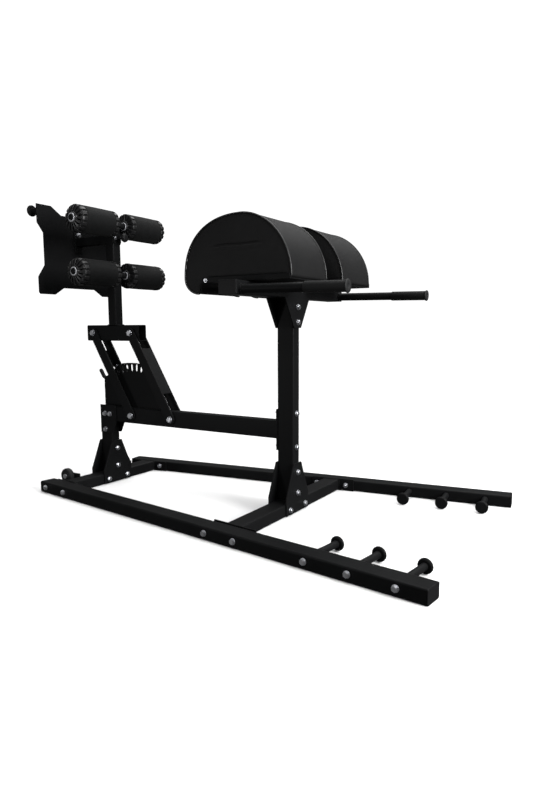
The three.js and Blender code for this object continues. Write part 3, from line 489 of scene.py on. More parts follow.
# Geometry Nodes. Each tree sets copies of a part on points, and its function says which and how.
def on_points(nodes, given):
    """One part on every point, with its Z along the point's own direction."""
    part = nodes.add("GeometryNodeObjectInfo", Object=given["Part"])
    axis = nodes.add("GeometryNodeInputNamedAttribute", {"data_type": "FLOAT_VECTOR"}, Name="direction")
    turn = nodes.add("FunctionNodeAlignRotationToVector", {"axis": "Z"}, Vector=axis.outputs["Attribute"])
    return {"Points": given["Geometry"], "Instance": part.outputs["Geometry"],
            "Rotation": turn.outputs["Rotation"], "Scale": given["Size"]}


def along_edges(nodes, given):
    """Rounded grains at an even pitch along the edges of a mesh: the ripples of a weld, or stitches."""
    line = nodes.add("GeometryNodeMeshToCurve", Mesh=given["Geometry"])
    points = nodes.add("GeometryNodeCurveToPoints", {"mode": "LENGTH"}, Curve=line.outputs["Curve"],
                       Length=given["Pitch"])
    grain = nodes.add("GeometryNodeMeshUVSphere", Segments=given["Sides"], Rings=5, Radius=0.5)
    size = nodes.add("ShaderNodeCombineXYZ", X=given["Across"], Y=given["Across"], Z=given["Along"])
    return {"Points": points.outputs["Points"], "Instance": grain.outputs["Mesh"],
            "Rotation": points.outputs["Rotation"], "Scale": size.outputs["Vector"]}


def in_a_fan(nodes, given):
    """Copies of one part, turned evenly about Z."""
    part = nodes.add("GeometryNodeObjectInfo", Object=given["Part"])
    hub = nodes.add("GeometryNodeMeshLine", Count=given["Count"], Offset=(0.0, 0.0, 0.0))
    index = nodes.add("GeometryNodeInputIndex").outputs["Index"]
    step = nodes.add("ShaderNodeMath", {"operation": "DIVIDE"}, _0=2 * math.pi, _1=given["Count"])
    angle = nodes.add("ShaderNodeMath", {"operation": "MULTIPLY"}, _0=index, _1=step.outputs["Value"])
    turn = nodes.add("ShaderNodeCombineXYZ", Z=angle.outputs["Value"])
    return {"Points": hub.outputs["Mesh"], "Instance": part.outputs["Geometry"],
            "Rotation": turn.outputs["Vector"]}


TREES = {
    "part_on_points": (on_points, {"Part": "Object", "Size": "Float"}),
    "grain_row": (along_edges, {"Pitch": "Float", "Across": "Float", "Along": "Float", "Sides": "Int"}),
    "part_fan": (in_a_fan, {"Part": "Object", "Count": "Int"}),
}


def copies_tree(name):
    """One of the geometry trees, built when it is first asked for."""
    tree = bpy.data.node_groups.get(name)
    if tree:
        return tree
    lay, inputs = TREES[name]
    tree = bpy.data.node_groups.new(name, "GeometryNodeTree")
    for label, kind in {"Geometry": "Geometry", **inputs, "Finish": "Material"}.items():
        tree.interface.new_socket(label, in_out="INPUT", socket_type=f"NodeSocket{kind}")
    tree.interface.new_socket("Geometry", in_out="OUTPUT", socket_type="NodeSocketGeometry")
    nodes = NodeTree(tree)
    given = nodes.add("NodeGroupInput").outputs
    placed = nodes.add("GeometryNodeInstanceOnPoints", **lay(nodes, given))
    real = nodes.add("GeometryNodeRealizeInstances", Geometry=placed.outputs["Instances"])
    painted = nodes.add("GeometryNodeSetMaterial", Geometry=real.outputs[0], Material=given["Finish"])
    nodes.add("NodeGroupOutput", Geometry=painted.outputs[0])
    return tree


def grown(name, mesh, finish_name, **inputs):
    """Runs a geometry tree on a mesh and returns the plain mesh that it makes."""
    tree = copies_tree(name)
    inputs["finish"] = paint(finish_name)
    obj = in_scene("carrier", mesh)
    modifier = modify(obj, "NODES", node_group=tree)
    for item in tree.interface.items_tree:
        key = item.name.lower()
        if item.in_out == "INPUT" and key in inputs:
            modifier[item.identifier] = inputs[key]
    return evaluated(obj)


def copies(name, mesh, part, finish_name, **inputs):
    """Copies of a part's mesh, set by a geometry tree."""
    source = in_scene("part", part)
    made = grown(name, mesh, finish_name, part=source, **inputs)
    bpy.data.objects.remove(source)
    return made


def points_mesh(places):
    """A mesh of loose points, each with a direction."""
    mesh = bpy.data.meshes.new("points")
    mesh.from_pydata([tuple(p) for p, _ in places], [], [])
    attribute = mesh.attributes.new("direction", "FLOAT_VECTOR", "POINT")
    for i, (_, direction) in enumerate(places):
        attribute.data[i].vector = direction
    return mesh


def lines_mesh(lines):
    """A mesh of open or closed polylines. A line whose ends meet is closed."""
    points, edges = [], []
    for line in lines:
        closed = (Vector(line[0]) - Vector(line[-1])).length < 1e-6
        kept = line[:-1] if closed else line
        first = len(points)
        points += [tuple(p) for p in kept]
        edges += [(first + i, first + i + 1) for i in range(len(kept) - 1)]
        if closed:
            edges.append((first + len(kept) - 1, first))
    mesh = bpy.data.meshes.new("lines")
    mesh.from_pydata(points, edges, [])
    return mesh


# Coated steel
STEEL_EDGE = 0.9 * MM  # rounding of the frame's sharp edges
OWN_PIECE = ("band_peg", "foot_peg", "handle_frame")
HANDLE_RISE = 20.3 * MM  # axis of the handles above the upright's top
HANDLE_FALL = math.radians(0.8)  # how far the handles fall towards their ends
HANDLE_TUBE = 16.55 * MM  # its radius, with a little room
COLLAR = (18.6 * MM, 9 * MM)  # radius and length


class BENCH_OT_coated_steel(Operator):
    """Rounds the edges of the welded and cut steel and gives it its powder coat"""

    bl_idname = "bench.coated_steel"
    bl_label = "Coated Steel"

    def execute(self, context):
        for node in frame["nodes"]:
            if node == "selector_plate":
                # The slotted plate keeps its laser-cut edges.
                dressed(node, "coated", shade(clean_copy(node, flat=False), 30), COAT)
            elif SLOTS[node] == "frame" and not node.startswith(OWN_PIECE):
                rounded_copy(node, "coated", COAT, STEEL_EDGE)
        return {"FINISHED"}


class BENCH_OT_handles(Operator):
    """Makes the cross tube with its welded handles, its end caps and its grips"""

    bl_idname = "bench.handles"
    bl_label = "Handles and Grips"

    def execute(self, context):
        rounded_copy("handle_frame", "coated", COAT, STEEL_EDGE)
        tube_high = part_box("handle_frame")[1]
        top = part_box("upright")[1].z
        half = -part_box("upright")[0].x
        for name in SIDES:
            self.collar(name, half)
        for name, side in SIDES.items():
            cap = bmesh.new()
            bmesh.ops.create_cube(cap, size=1.0)
            size = Vector((2 * half, 4 * MM, tube_high.z - top))
            at = Vector((0, side * (tube_high.y + 2.2 * MM), (top + tube_high.z) / 2))
            cap.transform(Matrix.Translation(at) @ Matrix.Diagonal((*size, 1)))
            mesh = softened(mesh_from("cap", cap), 1.6 * MM, steps=3)
            piece(f"cross_tube_cap_{name}", mesh, "moulded_plastic", "base", "plastic")
            self.grip(f"grip_{name}")
        return {"FINISHED"}

    def on_handle(self, mesh, y):
        """Moves a part that was made along X to the axis of a handle."""
        root = Vector((0, y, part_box("upright")[1].z + HANDLE_RISE))
        mesh.transform(Matrix.Translation(root) @ Matrix.Rotation(HANDLE_FALL, 4, "Y"))
        return mesh

    def collar(self, name, start):
        """A short thicker collar where a handle leaves the cross tube."""
        rim, end = COLLAR[0], start + COLLAR[1]
        profile = rounded([(HANDLE_TUBE, start), (rim, start), (rim, end), (HANDLE_TUBE, end)], 1 * MM)
        mesh = self.on_handle(lathe([*profile, profile[0]], 40, "x"), middle(f"grip_{name}").y)
        piece(f"handle_collar_{name}", shade(mesh), COAT, "base", "frame")

    def grip(self, node):
        """A rubber sleeve with a rolled lip and a dished end."""
        low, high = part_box(node)
        lip = (high.y - low.y) / 2
        skin = lip - 3 * MM
        bore = 16.9 * MM
        start, end = low.x, high.x
        profile = [(0, end - 6 * MM), (bore, end - 6 * MM), (bore, start), (skin - 1.5 * MM, start),
                   (skin, start + 2 * MM), (skin, end - 8.5 * MM), (skin + 0.6 * MM, end - 7 * MM),
                   (lip - 0.8 * MM, end - 5.4 * MM), (lip, end - 4.4 * MM), (lip, end - 1.6 * MM),
                   (lip - 1.6 * MM, end), (8 * MM, end), (6.5 * MM, end - 1.2 * MM), (0, end - 1.2 * MM)]
        mesh = self.on_handle(lathe(profile, 48, "x"), middle(node).y)
        dressed(node, "sleeve", shade(mesh, 50), "soft_rubber")


# Band pegs and foot pegs
class BENCH_OT_pegs(Operator):
    """Makes the pegs with their shafts and rounded discs"""

    bl_idname = "bench.pegs"
    bl_label = "Pegs"

    def execute(self, context):
        for node in frame["nodes"]:
            if node.startswith(("band_peg", "foot_peg")):
                rounded_copy(node, "coated", COAT, 1.2 * MM, steps=3, angle=40)
        return {"FINISHED"}


# Rollers
FOAM_BORE = 17.3 * MM  # radius of the foam's hole
AXLE_BORE = 12.9 * MM  # radius of the hub's hole
CAP_GAP = 0.2 * MM  # between a cap and the foam's end, and under the petals
CAP_PLATE = 3.2 * MM  # thickness of a cap's disc


def cap_mesh(deep, skin):
    """One end cap: a boss on a disc, and petals folded over the foam's edge. The foam ends at Z = 0."""
    look = settings("bench_rollers")
    boss = look.boss / 2
    inside, over = skin - look.petal_thick, skin + 0.3 * MM
    disc = inside - CAP_GAP
    core = [(AXLE_BORE, 0.3 * MM), (disc, 0.3 * MM), (disc, 0.1 * deep), (disc - 3.4 * MM, 0.24 * deep),
            (disc - 9 * MM, 0.3 * deep), (boss + 2.5 * MM, CAP_PLATE),
            (boss + 0.8 * MM, CAP_PLATE + 1.2 * MM), (boss - 1.2 * MM, deep - 2.2 * MM),
            (boss - 2.0 * MM, deep - 0.8 * MM), (boss - 3.6 * MM, deep),
            (AXLE_BORE + 1.5 * MM, deep), (AXLE_BORE, deep - 1.5 * MM), (AXLE_BORE, 0.3 * MM)]
    root, tip = boss - 3 * MM, -look.petal_fold
    outline = [(root, CAP_PLATE - 1 * MM), (inside - 2 * MM, CAP_PLATE - 1 * MM), (inside, -1.5 * MM),
               (inside, tip + 2 * MM), (inside + 1 * MM, tip), (over, tip + 3.4 * MM), (over, -4 * MM),
               (over - 1 * MM, 0.12 * deep), (over - 4.4 * MM, 0.38 * deep), (over - 10 * MM, 0.57 * deep),
               (boss + 6 * MM, deep - 3.2 * MM), (root, deep - 1.8 * MM)]
    widths = [look.petal_root + (look.petal_tip - look.petal_root) * (x - root) / (over - root)
              for x, _ in outline]
    rings = [[(x, side * width / 2, z) for (x, z), width in zip(outline, widths)] for side in (-1, 1)]
    petal = softened(mesh_from("petal", skinned(rings)), 1.7 * MM, steps=3, angle=35)
    fan = copies("part_fan", points_mesh([((0, 0, 0), Z_WAY)]), petal, "petal_plastic", count=look.petals)
    return joined("cap", [shade(lathe(core, 64), 35), fan])


class BENCH_OT_rollers(Operator):
    """Makes the foam rollers with their petalled end caps and plated rings"""

    bl_idname = "bench.rollers"
    bl_label = "Rollers"

    def execute(self, context):
        for level in LEVELS:
            for name, side in SIDES.items():
                self.roller(f"{level}_{name}", side)
        return {"FINISHED"}

    def roller(self, place, side):
        look = settings("bench_rollers")
        foam, hub = f"roller_foam_{place}", f"roller_hub_{place}"
        low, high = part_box(foam)
        hub_low, hub_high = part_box(hub)
        x, _, z = (low + high) / 2
        skin = (high.x - low.x) / 2
        inner, outer = sorted((abs(low.y), abs(high.y)))
        hub_inner, hub_outer = sorted((abs(hub_low.y), abs(hub_high.y)))
        slim = skin - look.petal_thick - CAP_GAP
        fold = look.petal_fold
        end = [(FOAM_BORE, 0), (slim - 1.5 * MM, 0), (slim, 2 * MM), (slim, fold + 1 * MM),
               (skin, fold + 7 * MM)]
        sleeve = rounded([
            *((radius, inner + along) for radius, along in end),
            (skin + 0.5 * MM, (inner + outer) / 2),
            *((radius, outer - along) for radius, along in reversed(end)),
        ], 4 * MM, 4)
        mesh = lathe([*sleeve, sleeve[0]], 72, "y", (x, 0, z), side)
        dressed(foam, "skin", shade(mesh, 60), "roller_foam_skin")
        parts = []
        for foam_end, hub_end, way in ((outer, hub_outer, 1), (inner, hub_inner, -1)):
            cap = cap_mesh(abs(hub_end - foam_end), skin)
            cap.transform(y_seat(x, side * (foam_end + way * CAP_GAP), z, side * way))
            parts.append(cap)
        tube = FOAM_BORE - 0.4 * MM
        spool = [(AXLE_BORE, inner), (tube, inner), (tube, outer), (AXLE_BORE, outer), (AXLE_BORE, inner)]
        parts.append(shade(lathe(spool, 40, "y", (x, 0, z), side)))
        dressed(hub, "caps", joined(hub, parts), "petal_plastic")
        for ring, hub_end, way in (("ring", hub_outer, 1), ("washer", hub_inner, -1)):
            mesh = self.plate_ring(hub_end + way * 0.1 * MM, way, (x, 0, z), side)
            piece(f"axle_{ring}_{place}", mesh, "bright_plate", "foot_section", "zinc")

    def plate_ring(self, start, way, centre, side):
        """A plated ring round the axle, against one end of the hub."""
        look = settings("bench_rollers")
        rim, hole, end = look.ring / 2, look.ring_hole / 2, start + way * look.ring_thick
        seam = ((rim + hole) / 2, start)
        profile = rounded([seam, (rim, start), (rim, end), (hole, end), (hole, start), seam], 0.8 * MM)
        return shade(lathe(profile, 48, "y", centre, side))


# Wheels, knob and plastic caps
LEVER_ROD = 13 * MM  # diameter of the selector's lever
LEVER_SLEEVE = 19 * MM  # diameter of its thick end
SLEEVE_POINTS = 14  # points of the lever's line in the thick end
LEVER_ROUTE = ((-14, -7), (-81.5, -40), (-165, -39), (-196, -4))  # mm from the pin, in the side view
KNOB_LOBES = 8
KNOB_LOBE_DEPTH = 1.4 * MM


def smooth_route(points, steps):
    """A smooth curve through the points, with the ends as given."""
    path = [Vector(p) for p in points]
    path = [path[0] * 2 - path[1], *path, path[-1] * 2 - path[-2]]
    out = []
    for a, b, c, d in zip(path, path[1:], path[2:], path[3:]):
        for i in range(steps):
            t = i / steps
            out.append(0.5 * (2 * b + (c - a) * t + (2 * a - 5 * b + 4 * c - d) * t * t
                              + (3 * b - a - 3 * c + d) * t ** 3))
    return [*out, path[-2]]


class BENCH_OT_small_mouldings(Operator):
    """Makes the transport wheels, the clamp knob, the selector, the rail caps and the pad boards"""

    bl_idname = "bench.small_mouldings"
    bl_label = "Wheels, Knob and Caps"

    def execute(self, context):
        for name in SIDES:
            rounded_copy(f"wheel_{name}", "tyre", "soft_rubber", 1.4 * MM, steps=3, angle=35)
            for end in ("rear", "front"):
                rounded_copy(f"rail_cap_{name}_{end}", "moulded", "moulded_plastic", 1.3 * MM, steps=3)
            rounded_copy(f"pad_board_{name}", "ply", "stained_board", 0.6 * MM)
        self.knob()
        self.selector()
        return {"FINISHED"}

    def selector(self):
        """The plated pin ends in its housing, and a coated lever with a thick round end leads out of it."""
        node = "selector_pin"
        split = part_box("rear_link")[1].y + 4 * MM
        bm = bmesh.new()
        bm.from_mesh(clean_copy(node))
        parts = bm.verts[:] + bm.edges[:] + bm.faces[:]
        cut = bmesh.ops.bisect_plane(bm, geom=parts, plane_co=(0, split, 0), plane_no=Y_WAY, clear_outer=True)
        edges = [e for e in cut["geom_cut"] if isinstance(e, bmesh.types.BMEdge)]
        bmesh.ops.holes_fill(bm, edges=edges)
        bmesh.ops.recalc_face_normals(bm, faces=bm.faces[:])
        pin = softened(mesh_from("pin", bm), 0.5 * MM, angle=35)
        dressed(node, "plated", pin, ZINC)
        spots = [v.co for v in pin.vertices]
        low, high = (Vector((pick(p.x for p in spots), 0, pick(p.z for p in spots))) for pick in (min, max))
        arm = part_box(node)[1].y - LEVER_ROD / 2
        turns = [(0, split - 1 * MM, 0), (0, arm - 8 * MM, 0), (-4 * MM, arm - 1 * MM, -2 * MM),
                 *((x * MM, arm, z * MM) for x, z in LEVER_ROUTE)]
        line = [(low + high) / 2 + Vector(point) for point in smooth_route(turns, 6)]
        ball = bmesh.new()
        bmesh.ops.create_uvsphere(ball, u_segments=20, v_segments=12, radius=LEVER_SLEEVE / 2)
        ball.transform(Matrix.Translation(line[-1]))
        meshes = [sweep(line, LEVER_ROD / 2, 20), sweep(line[-SLEEVE_POINTS:], LEVER_SLEEVE / 2, 20),
                  mesh_from("tip", ball)]
        piece("selector_lever_coated", shade(joined("lever", meshes)), "soft_rubber", body_of(node), "rubber")

    def knob(self):
        """A lobed clamp knob on its stem."""
        low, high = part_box("clamp_knob")
        centre = (low + high) / 2
        outer = (high.z - low.z) / 2
        end = high.x
        stem, neck = 6 * MM, 11 * MM
        foot = end - 25 * MM
        head = [(neck, foot), (neck, foot + 4 * MM), (outer, foot + 8 * MM), (outer, end - 8 * MM),
                (outer - 4 * MM, end - 2 * MM), (outer * 0.45, end), (0, end)]
        profile = [(0, low.x), (stem, low.x), (stem, foot), *rounded(head, 4 * MM, 5)]
        mesh = lathe(profile, 72, "x", (0, centre.y, centre.z))
        for vertex in mesh.vertices:
            y, z = vertex.co.y - centre.y, vertex.co.z - centre.z
            reach = math.hypot(y, z)
            if reach > neck + 2 * MM:
                depth = KNOB_LOBE_DEPTH * (0.5 - 0.5 * math.cos(KNOB_LOBES * math.atan2(z, y)))
                vertex.co.y -= y / reach * depth
                vertex.co.z -= z / reach * depth
        dressed("clamp_knob", "moulded", shade(mesh, 40), "moulded_plastic")


# Hip pads
APEX_SHARE = 0.54  # where the crown is highest, from the rear
FRONT_ROUND = 1.93  # exponents of the crown's outline, in front of its top and behind it
REAR_ROUND = 2.3
SEAM_IN = 6 * MM  # side seams from the pad's outermost points
NOSE_LONG = 66 * MM
CROWN_STEPS = 56
NOSE_STEPS = 14
PAD_STATIONS = 12  # steps of the plain pad across its width
SEAM_DOTS = 3 * MM  # distance between the points that stand for a seam
WELT_AIM = (-0.02, 1.0)  # the point that the welts are set in towards, in the side view
HELD_AT_SEAM = 5 * MM  # cover that the simulation holds still, along the seams and on the board
HELD_AT_BOARD = 3 * MM
BOARD_FADE = (2 * MM, 20 * MM)  # above the board, where the swell starts and over how much it grows
COVER_FRAMES = 20
COVER_CLOTH = {
    "quality": 6,
    "mass": 0.25,
    "tension_stiffness": 22,
    "compression_stiffness": 18,
    "shear_stiffness": 9,
    "bending_stiffness": 1.2,
    "use_pressure": True,
    "uniform_pressure_force": 5.0,
}
SIDE_PANEL = 25 * MM  # how deep the outer side panel goes, from its outermost point
# The crease in the outer side panel, in the side view
CREASE_LINE = ((-0.150, 1.0405), (-0.068, 1.0456), (-0.013, 1.0437), (0.035, 1.0446), (0.110, 1.0467))
CREASE_HALF = 4 * MM  # half of its width
CREASE_FADES = (50 * MM, 60 * MM)  # over which it deepens from its rear and its front end
RIDGE_DOWN = 9 * MM  # how far below it the soft ridge lies
RIDGE_HALF = 7 * MM  # half the width of the ridge
RIDGE_SHARE = 0.3  # height of the ridge, as a share of the crease's depth


def pad_outline(look):
    """The pad's side view as a closed line: over the crown from front to rear, round the nose and back."""
    low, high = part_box("pad_near")
    board_low, board_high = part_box("pad_board_near")
    underside = board_high.z + 0.3 * MM
    front, tail = high.x - look.front_in, low.x - look.nose_out
    apex = low.x + APEX_SHARE * (high.x - low.x)
    rise = high.z - look.crown_in - underside
    drop = underside - low.z
    line = []
    for i in range(CROWN_STEPS + 1):
        angle = math.pi * i / CROWN_STEPS
        across, up = math.cos(angle), math.sin(angle)
        reach, power = (front - apex, 2 / FRONT_ROUND) if across > 0 else (apex - tail, 2 / REAR_ROUND)
        out = math.copysign(abs(across) ** power, across)
        line.append((apex + reach * out, underside + rise * up ** power))
    nose = tail + NOSE_LONG
    for i in range(1, NOSE_STEPS + 1):
        angle = math.pi / 2 * i / NOSE_STEPS
        line.append((nose - NOSE_LONG * math.cos(angle), underside - drop * math.sin(angle)))
    board_rear = board_low.x - 0.3 * MM
    line += [(board_rear - NOSE_LONG / 2, underside - drop / 2), (board_rear, underside)]
    lip, bend = board_high.x + 0.5 * MM, look.front_round
    line += [(lip, underside), (lip, board_low.z), (front - bend, board_low.z),
             (front - 0.3 * bend, board_low.z + 0.3 * bend), (front, board_low.z + bend)]
    return line, underside


def pad_block(outline, y_low, y_high):
    """The plain pad between its seams."""
    steps = [y_low + (y_high - y_low) * i / PAD_STATIONS for i in range(PAD_STATIONS + 1)]
    bm = skinned([[(x, y, z) for x, z in outline] for y in steps])
    bmesh.ops.triangulate(bm, faces=[f for f in bm.faces if len(f.verts) > 4])
    return mesh_from("pad_block", bm)


def smooth_step(value):
    t = min(1.0, max(0.0, value))
    return t * t * (3 - 2 * t)


class BENCH_OT_hip_pads(Operator):
    """Makes the two hip pads: a cover swollen by its foam, with welted and stitched seams"""

    bl_idname = "bench.hip_pads"
    bl_label = "Hip Pads"

    def execute(self, context):
        look = settings("bench_pads")
        low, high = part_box("pad_near")
        outline, underside = pad_outline(look)
        seams = (low.y + SEAM_IN, high.y - SEAM_IN)
        swollen = self.swell(self.cover(outline, seams), outline, seams, underside)
        tree = BVHTree.FromPolygons([v.co for v in swollen.vertices], [p.vertices for p in swollen.polygons])
        welts = [self.welt(outline, y) for y in seams]
        stitches = self.stitches(outline, seams, tree)
        shifts = {"near": 0, "far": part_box("pad_far")[0].y - low.y}
        for name in SIDES:
            node = f"pad_{name}"
            meshes = [mesh.copy() for mesh in (swollen, *welts, stitches)]
            for mesh in meshes:
                mesh.transform(Matrix.Translation((0, shifts[name], 0)))
            skin = dressed(node, "cover", shade(meshes[0], 80), "pad_vinyl")
            self.crease(skin.data, SIDES[name])
            for mesh, end in zip(meshes[1:3], ("low", "high")):
                piece(f"{node}_welt_{end}", shade(mesh, 60), "piping_vinyl", body_of(node), SLOTS[node])
            piece(f"{node}_stitching", meshes[3], "sewing_thread", body_of(node), SLOTS[node])
        return {"FINISHED"}

    def cover(self, outline, seams):
        """The plain pad with an even mesh, ready for the simulation."""
        obj = in_scene("carrier", pad_block(outline, *seams))
        modify(obj, "REMESH", mode="VOXEL", voxel_size=settings("bench_pads").voxel, use_smooth_shade=True)
        return evaluated(obj)

    def swell(self, mesh, outline, seams, underside):
        """Blows the cover up against its seams, and caps the movement near them."""
        look = settings("bench_pads")
        rest = [v.co.copy() for v in mesh.vertices]
        facing = [abs(v.normal.y) for v in mesh.vertices]
        caps = [look.crown_swell + (look.side_swell - look.crown_swell) * smooth_step(f) for f in facing]
        seam = self.seam_dots(outline, seams)
        held = [i for i, co in enumerate(rest)
                if seam.find(co)[2] < HELD_AT_SEAM or abs(co.z - underside) < HELD_AT_BOARD]
        moved = self.blown_up(mesh, held)
        for i, vertex in enumerate(mesh.vertices):
            near_seam = smooth_step(seam.find(rest[i])[2] / look.seam_reach)
            off_board = smooth_step((abs(rest[i].z - underside) - BOARD_FADE[0]) / BOARD_FADE[1])
            limit = caps[i] * near_seam * off_board
            move = moved[i] - rest[i]
            if move.length > limit:
                move *= limit / max(move.length, 1e-9)
            vertex.co = rest[i] + move
        obj = in_scene("carrier", mesh)
        modify(obj, "SMOOTH", factor=0.5, iterations=3)
        modify(obj, "SUBSURF", levels=1, render_levels=1)
        return evaluated(obj)

    def seam_dots(self, outline, seams):
        """Points along both seams, to find a place's distance from the nearest seam."""
        dots = []
        for (ax, az), (bx, bz) in zip(outline, outline[1:] + outline[:1]):
            steps = max(1, int(math.hypot(bx - ax, bz - az) / SEAM_DOTS))
            dots += [(ax + (bx - ax) * i / steps, az + (bz - az) * i / steps) for i in range(steps)]
        tree = KDTree(2 * len(dots))
        for i, (x, z) in enumerate(dots):
            tree.insert((x, seams[0], z), 2 * i)
            tree.insert((x, seams[1], z), 2 * i + 1)
        tree.balance()
        return tree

    def blown_up(self, mesh, held):
        """Where the cover's points end under pressure, with some of them held still."""
        obj = in_scene("carrier", mesh)
        obj.vertex_groups.new(name="held").add(held, 1.0, "REPLACE")
        cloth = modify(obj, "CLOTH")
        set_all(cloth.settings, **COVER_CLOTH, vertex_group_mass="held")
        cloth.settings.effector_weights.gravity = 0
        set_all(cloth.point_cache, frame_start=1, frame_end=COVER_FRAMES)
        scene = bpy.context.scene
        for number in range(1, COVER_FRAMES + 1):
            scene.frame_set(number)
        graph = bpy.context.evaluated_depsgraph_get()
        moved = [v.co.copy() for v in obj.evaluated_get(graph).data.vertices]
        bpy.data.objects.remove(obj)
        scene.frame_set(1)
        return moved

    def seam_line(self, outline, y):
        """The seam from under the front lip over the crown to the tip of the nose."""
        last = CROWN_STEPS + NOSE_STEPS
        return [Vector((x, y, z)) for x, z in [*outline[-3:], *outline[: last + 1]]]

    def welt(self, outline, y):
        """The cord along a seam, set a little into the cover."""
        cord = settings("bench_pads").cord
        aim = Vector((WELT_AIM[0], y, WELT_AIM[1]))
        line = [p + (aim - p).normalized() * cord * 0.2 for p in self.seam_line(outline, y)]
        return sweep(line, cord / 2, 10)

    def stitches(self, outline, seams, tree):
        """A row of stitches on the crown panel beside each welt."""
        look = settings("bench_pads")
        lines = []
        for y, inward in zip(seams, (1, -1)):
            found = [tree.find_nearest(p + Y_WAY * inward * look.stitch_inset)
                     for p in self.seam_line(outline, y)]
            lines.append([place + normal * look.stitch_thread * 0.2 for place, normal, *_ in found])
        return grown("grain_row", lines_mesh(lines), "sewing_thread", pitch=look.stitch_pitch,
                     across=look.stitch_thread, along=look.stitch_length, sides=6)

    def crease(self, mesh, side):
        """A soft crease where the outer side panel is pulled over the foam."""
        deepest = settings("bench_pads").crease
        outer = max(abs(v.co.y) for v in mesh.vertices)
        rear, front = CREASE_LINE[0][0], CREASE_LINE[-1][0]
        for vertex in mesh.vertices:
            x, z = vertex.co.x, vertex.co.z
            if abs(vertex.co.y) < outer - SIDE_PANEL:
                continue
            for (ax, az), (bx, bz) in zip(CREASE_LINE, CREASE_LINE[1:]):
                if ax <= x <= bx:
                    off = z - (az + (bz - az) * (x - ax) / (bx - ax))
                    fade = smooth_step((x - rear) / CREASE_FADES[0])
                    fade *= smooth_step((front - x) / CREASE_FADES[1])
                    dip = math.exp(-((off / CREASE_HALF) ** 2))
                    ridge = RIDGE_SHARE * math.exp(-(((off + RIDGE_DOWN) / RIDGE_HALF) ** 2))
                    vertex.co.y -= side * deepest * fade * (dip - ridge)


# Zinc hardware
SMALL_BOLT = 0.66  # size of the small bolts, as a share of a frame bolt
PLATE = 6.3 * MM  # a bolted plate with its coat
POST_BOLTS = ((0, 0.168), (0, 0.082), (-0.061, 0.024), (0.061, 0.024))  # across and up, through the gussets
TOP_BOLT_DROPS = (0.0337, 0.0927)  # through the top gussets, below the upright's top
BEAM_BOLT_RISES = (-0.069, 0.069)  # through the beam's flange, from its middle
TAIL_BOLTS = (-0.001, 0.033)  # through the tail plates at the height of the links' axis, from the post
TAIL_LOW_BOLT = 0.262  # height of the lower one
RAIL_SPLAY = math.radians(7.4)
MEMBER_LINE = 0.075  # from a rail's outer face to the line where a cross member's middle is taken
MEMBER_BOLT_HALF = 0.07  # from a cross member's middle to its two rail bolts
RAIL_BOLT_RISE = 0.026
RAIL_GRIP = 0.0813  # rail and flange, from the head to the nut
PEG_BOLT_RISE = 0.027
TRAY_BOLT = (-0.150, 9.7 * MM)  # along, and below the tray's top
SLIDE_FLANGE = 5 * MM  # thickness of the slide tube's flange
PLATE_BOLT_RISE = 34 * MM  # from the slide's axis
STOP_SCREW = (-14.5 * MM, 1 * MM)  # across and up from the slide's axis
SPACER_BOLT = (0.2705, 35 * MM, 8 * MM)  # up along the rear link, across, and from head to nut
PIVOT_HEAD = 9 * MM  # height of a pivot bolt's head with its flange
PIVOT_FLANGE = 2.6 * MM
PIVOT_FLATS = 24 * MM
PIVOT_SHAFT = 8 * MM  # its radius


def hexagon(flats, low, high, chamfer):
    """A six-sided head or nut from low to high along Z, with a chamfer round its top."""
    bm = bmesh.new()
    radius = flats / math.sqrt(3)
    bmesh.ops.create_cone(bm, cap_ends=True, segments=6, radius1=radius, radius2=radius, depth=high - low)
    bmesh.ops.translate(bm, verts=bm.verts[:], vec=(0, 0, (low + high) / 2))
    top = [f for f in bm.faces if f.normal.z > 0.9]
    made = bmesh.ops.inset_region(bm, faces=top, thickness=chamfer, use_even_offset=True)
    corners = {v for f in made["faces"] for v in f.verts} - {v for f in top for v in f.verts}
    for vertex in corners:
        vertex.co.z -= chamfer * 0.6
    return shade(mesh_from("hexagon", bm), 15)


def bolt_mesh(end):
    """A washer under a bolt's head, or under its nut with the thread's end."""
    look = settings("bench_fasteners")
    seat = look.washer_thick
    rim = rounded([(0, 0), (look.washer / 2, 0), (look.washer / 2, seat), (0, seat)], 0.5 * MM)
    disc = shade(lathe(rim, 32))
    if end == "head":
        return joined("bolt_head", [disc, hexagon(look.flats, seat, seat + look.head, 1.6 * MM)])
    top = seat + look.head * 1.15
    tip = top + look.thread_out
    radius = look.shank / 2
    thread = lathe([(0, top - 1 * MM), (radius, top - 1 * MM), (radius, tip - 1 * MM), (radius - 1 * MM, tip),
                    (0, tip)], 20)
    return joined("bolt_nut", [disc, hexagon(look.flats, seat, top, 1.4 * MM), shade(thread)])


def rail_matrix(name):
    """The rail's own frame, found from its solid: X along its outer face, Y towards the far side."""
    side = SIDES[name]
    points = [v.co for v in frame["nodes"][f"rail_{name}"].data.vertices]
    rear = min(points, key=lambda p: p.x + side * p.y * 1e-3)
    outer_rear = min((p for p in points if p.x < rear.x + 0.02), key=lambda p: -side * p.y)
    outer_front = max(points, key=lambda p: side * p.y)
    along = Vector((outer_front.x - outer_rear.x, outer_front.y - outer_rear.y, 0)).normalized()
    across = Vector((-along.y, along.x, 0))
    start = Vector((outer_rear.x, outer_rear.y, 0))
    return Matrix((
        (along.x, across.x, 0, start.x),
        (along.y, across.y, 0, start.y),
        (0, 0, 1, 0),
        (0, 0, 0, 1),
    ))


def members(place):
    """Where the front and the rear cross member meet a rail, along it."""
    lean = place.translation.x + MEMBER_LINE * math.sin(RAIL_SPLAY)
    return [(x - lean) / math.cos(RAIL_SPLAY) for x in (0.0, middle("rear_post").x)]


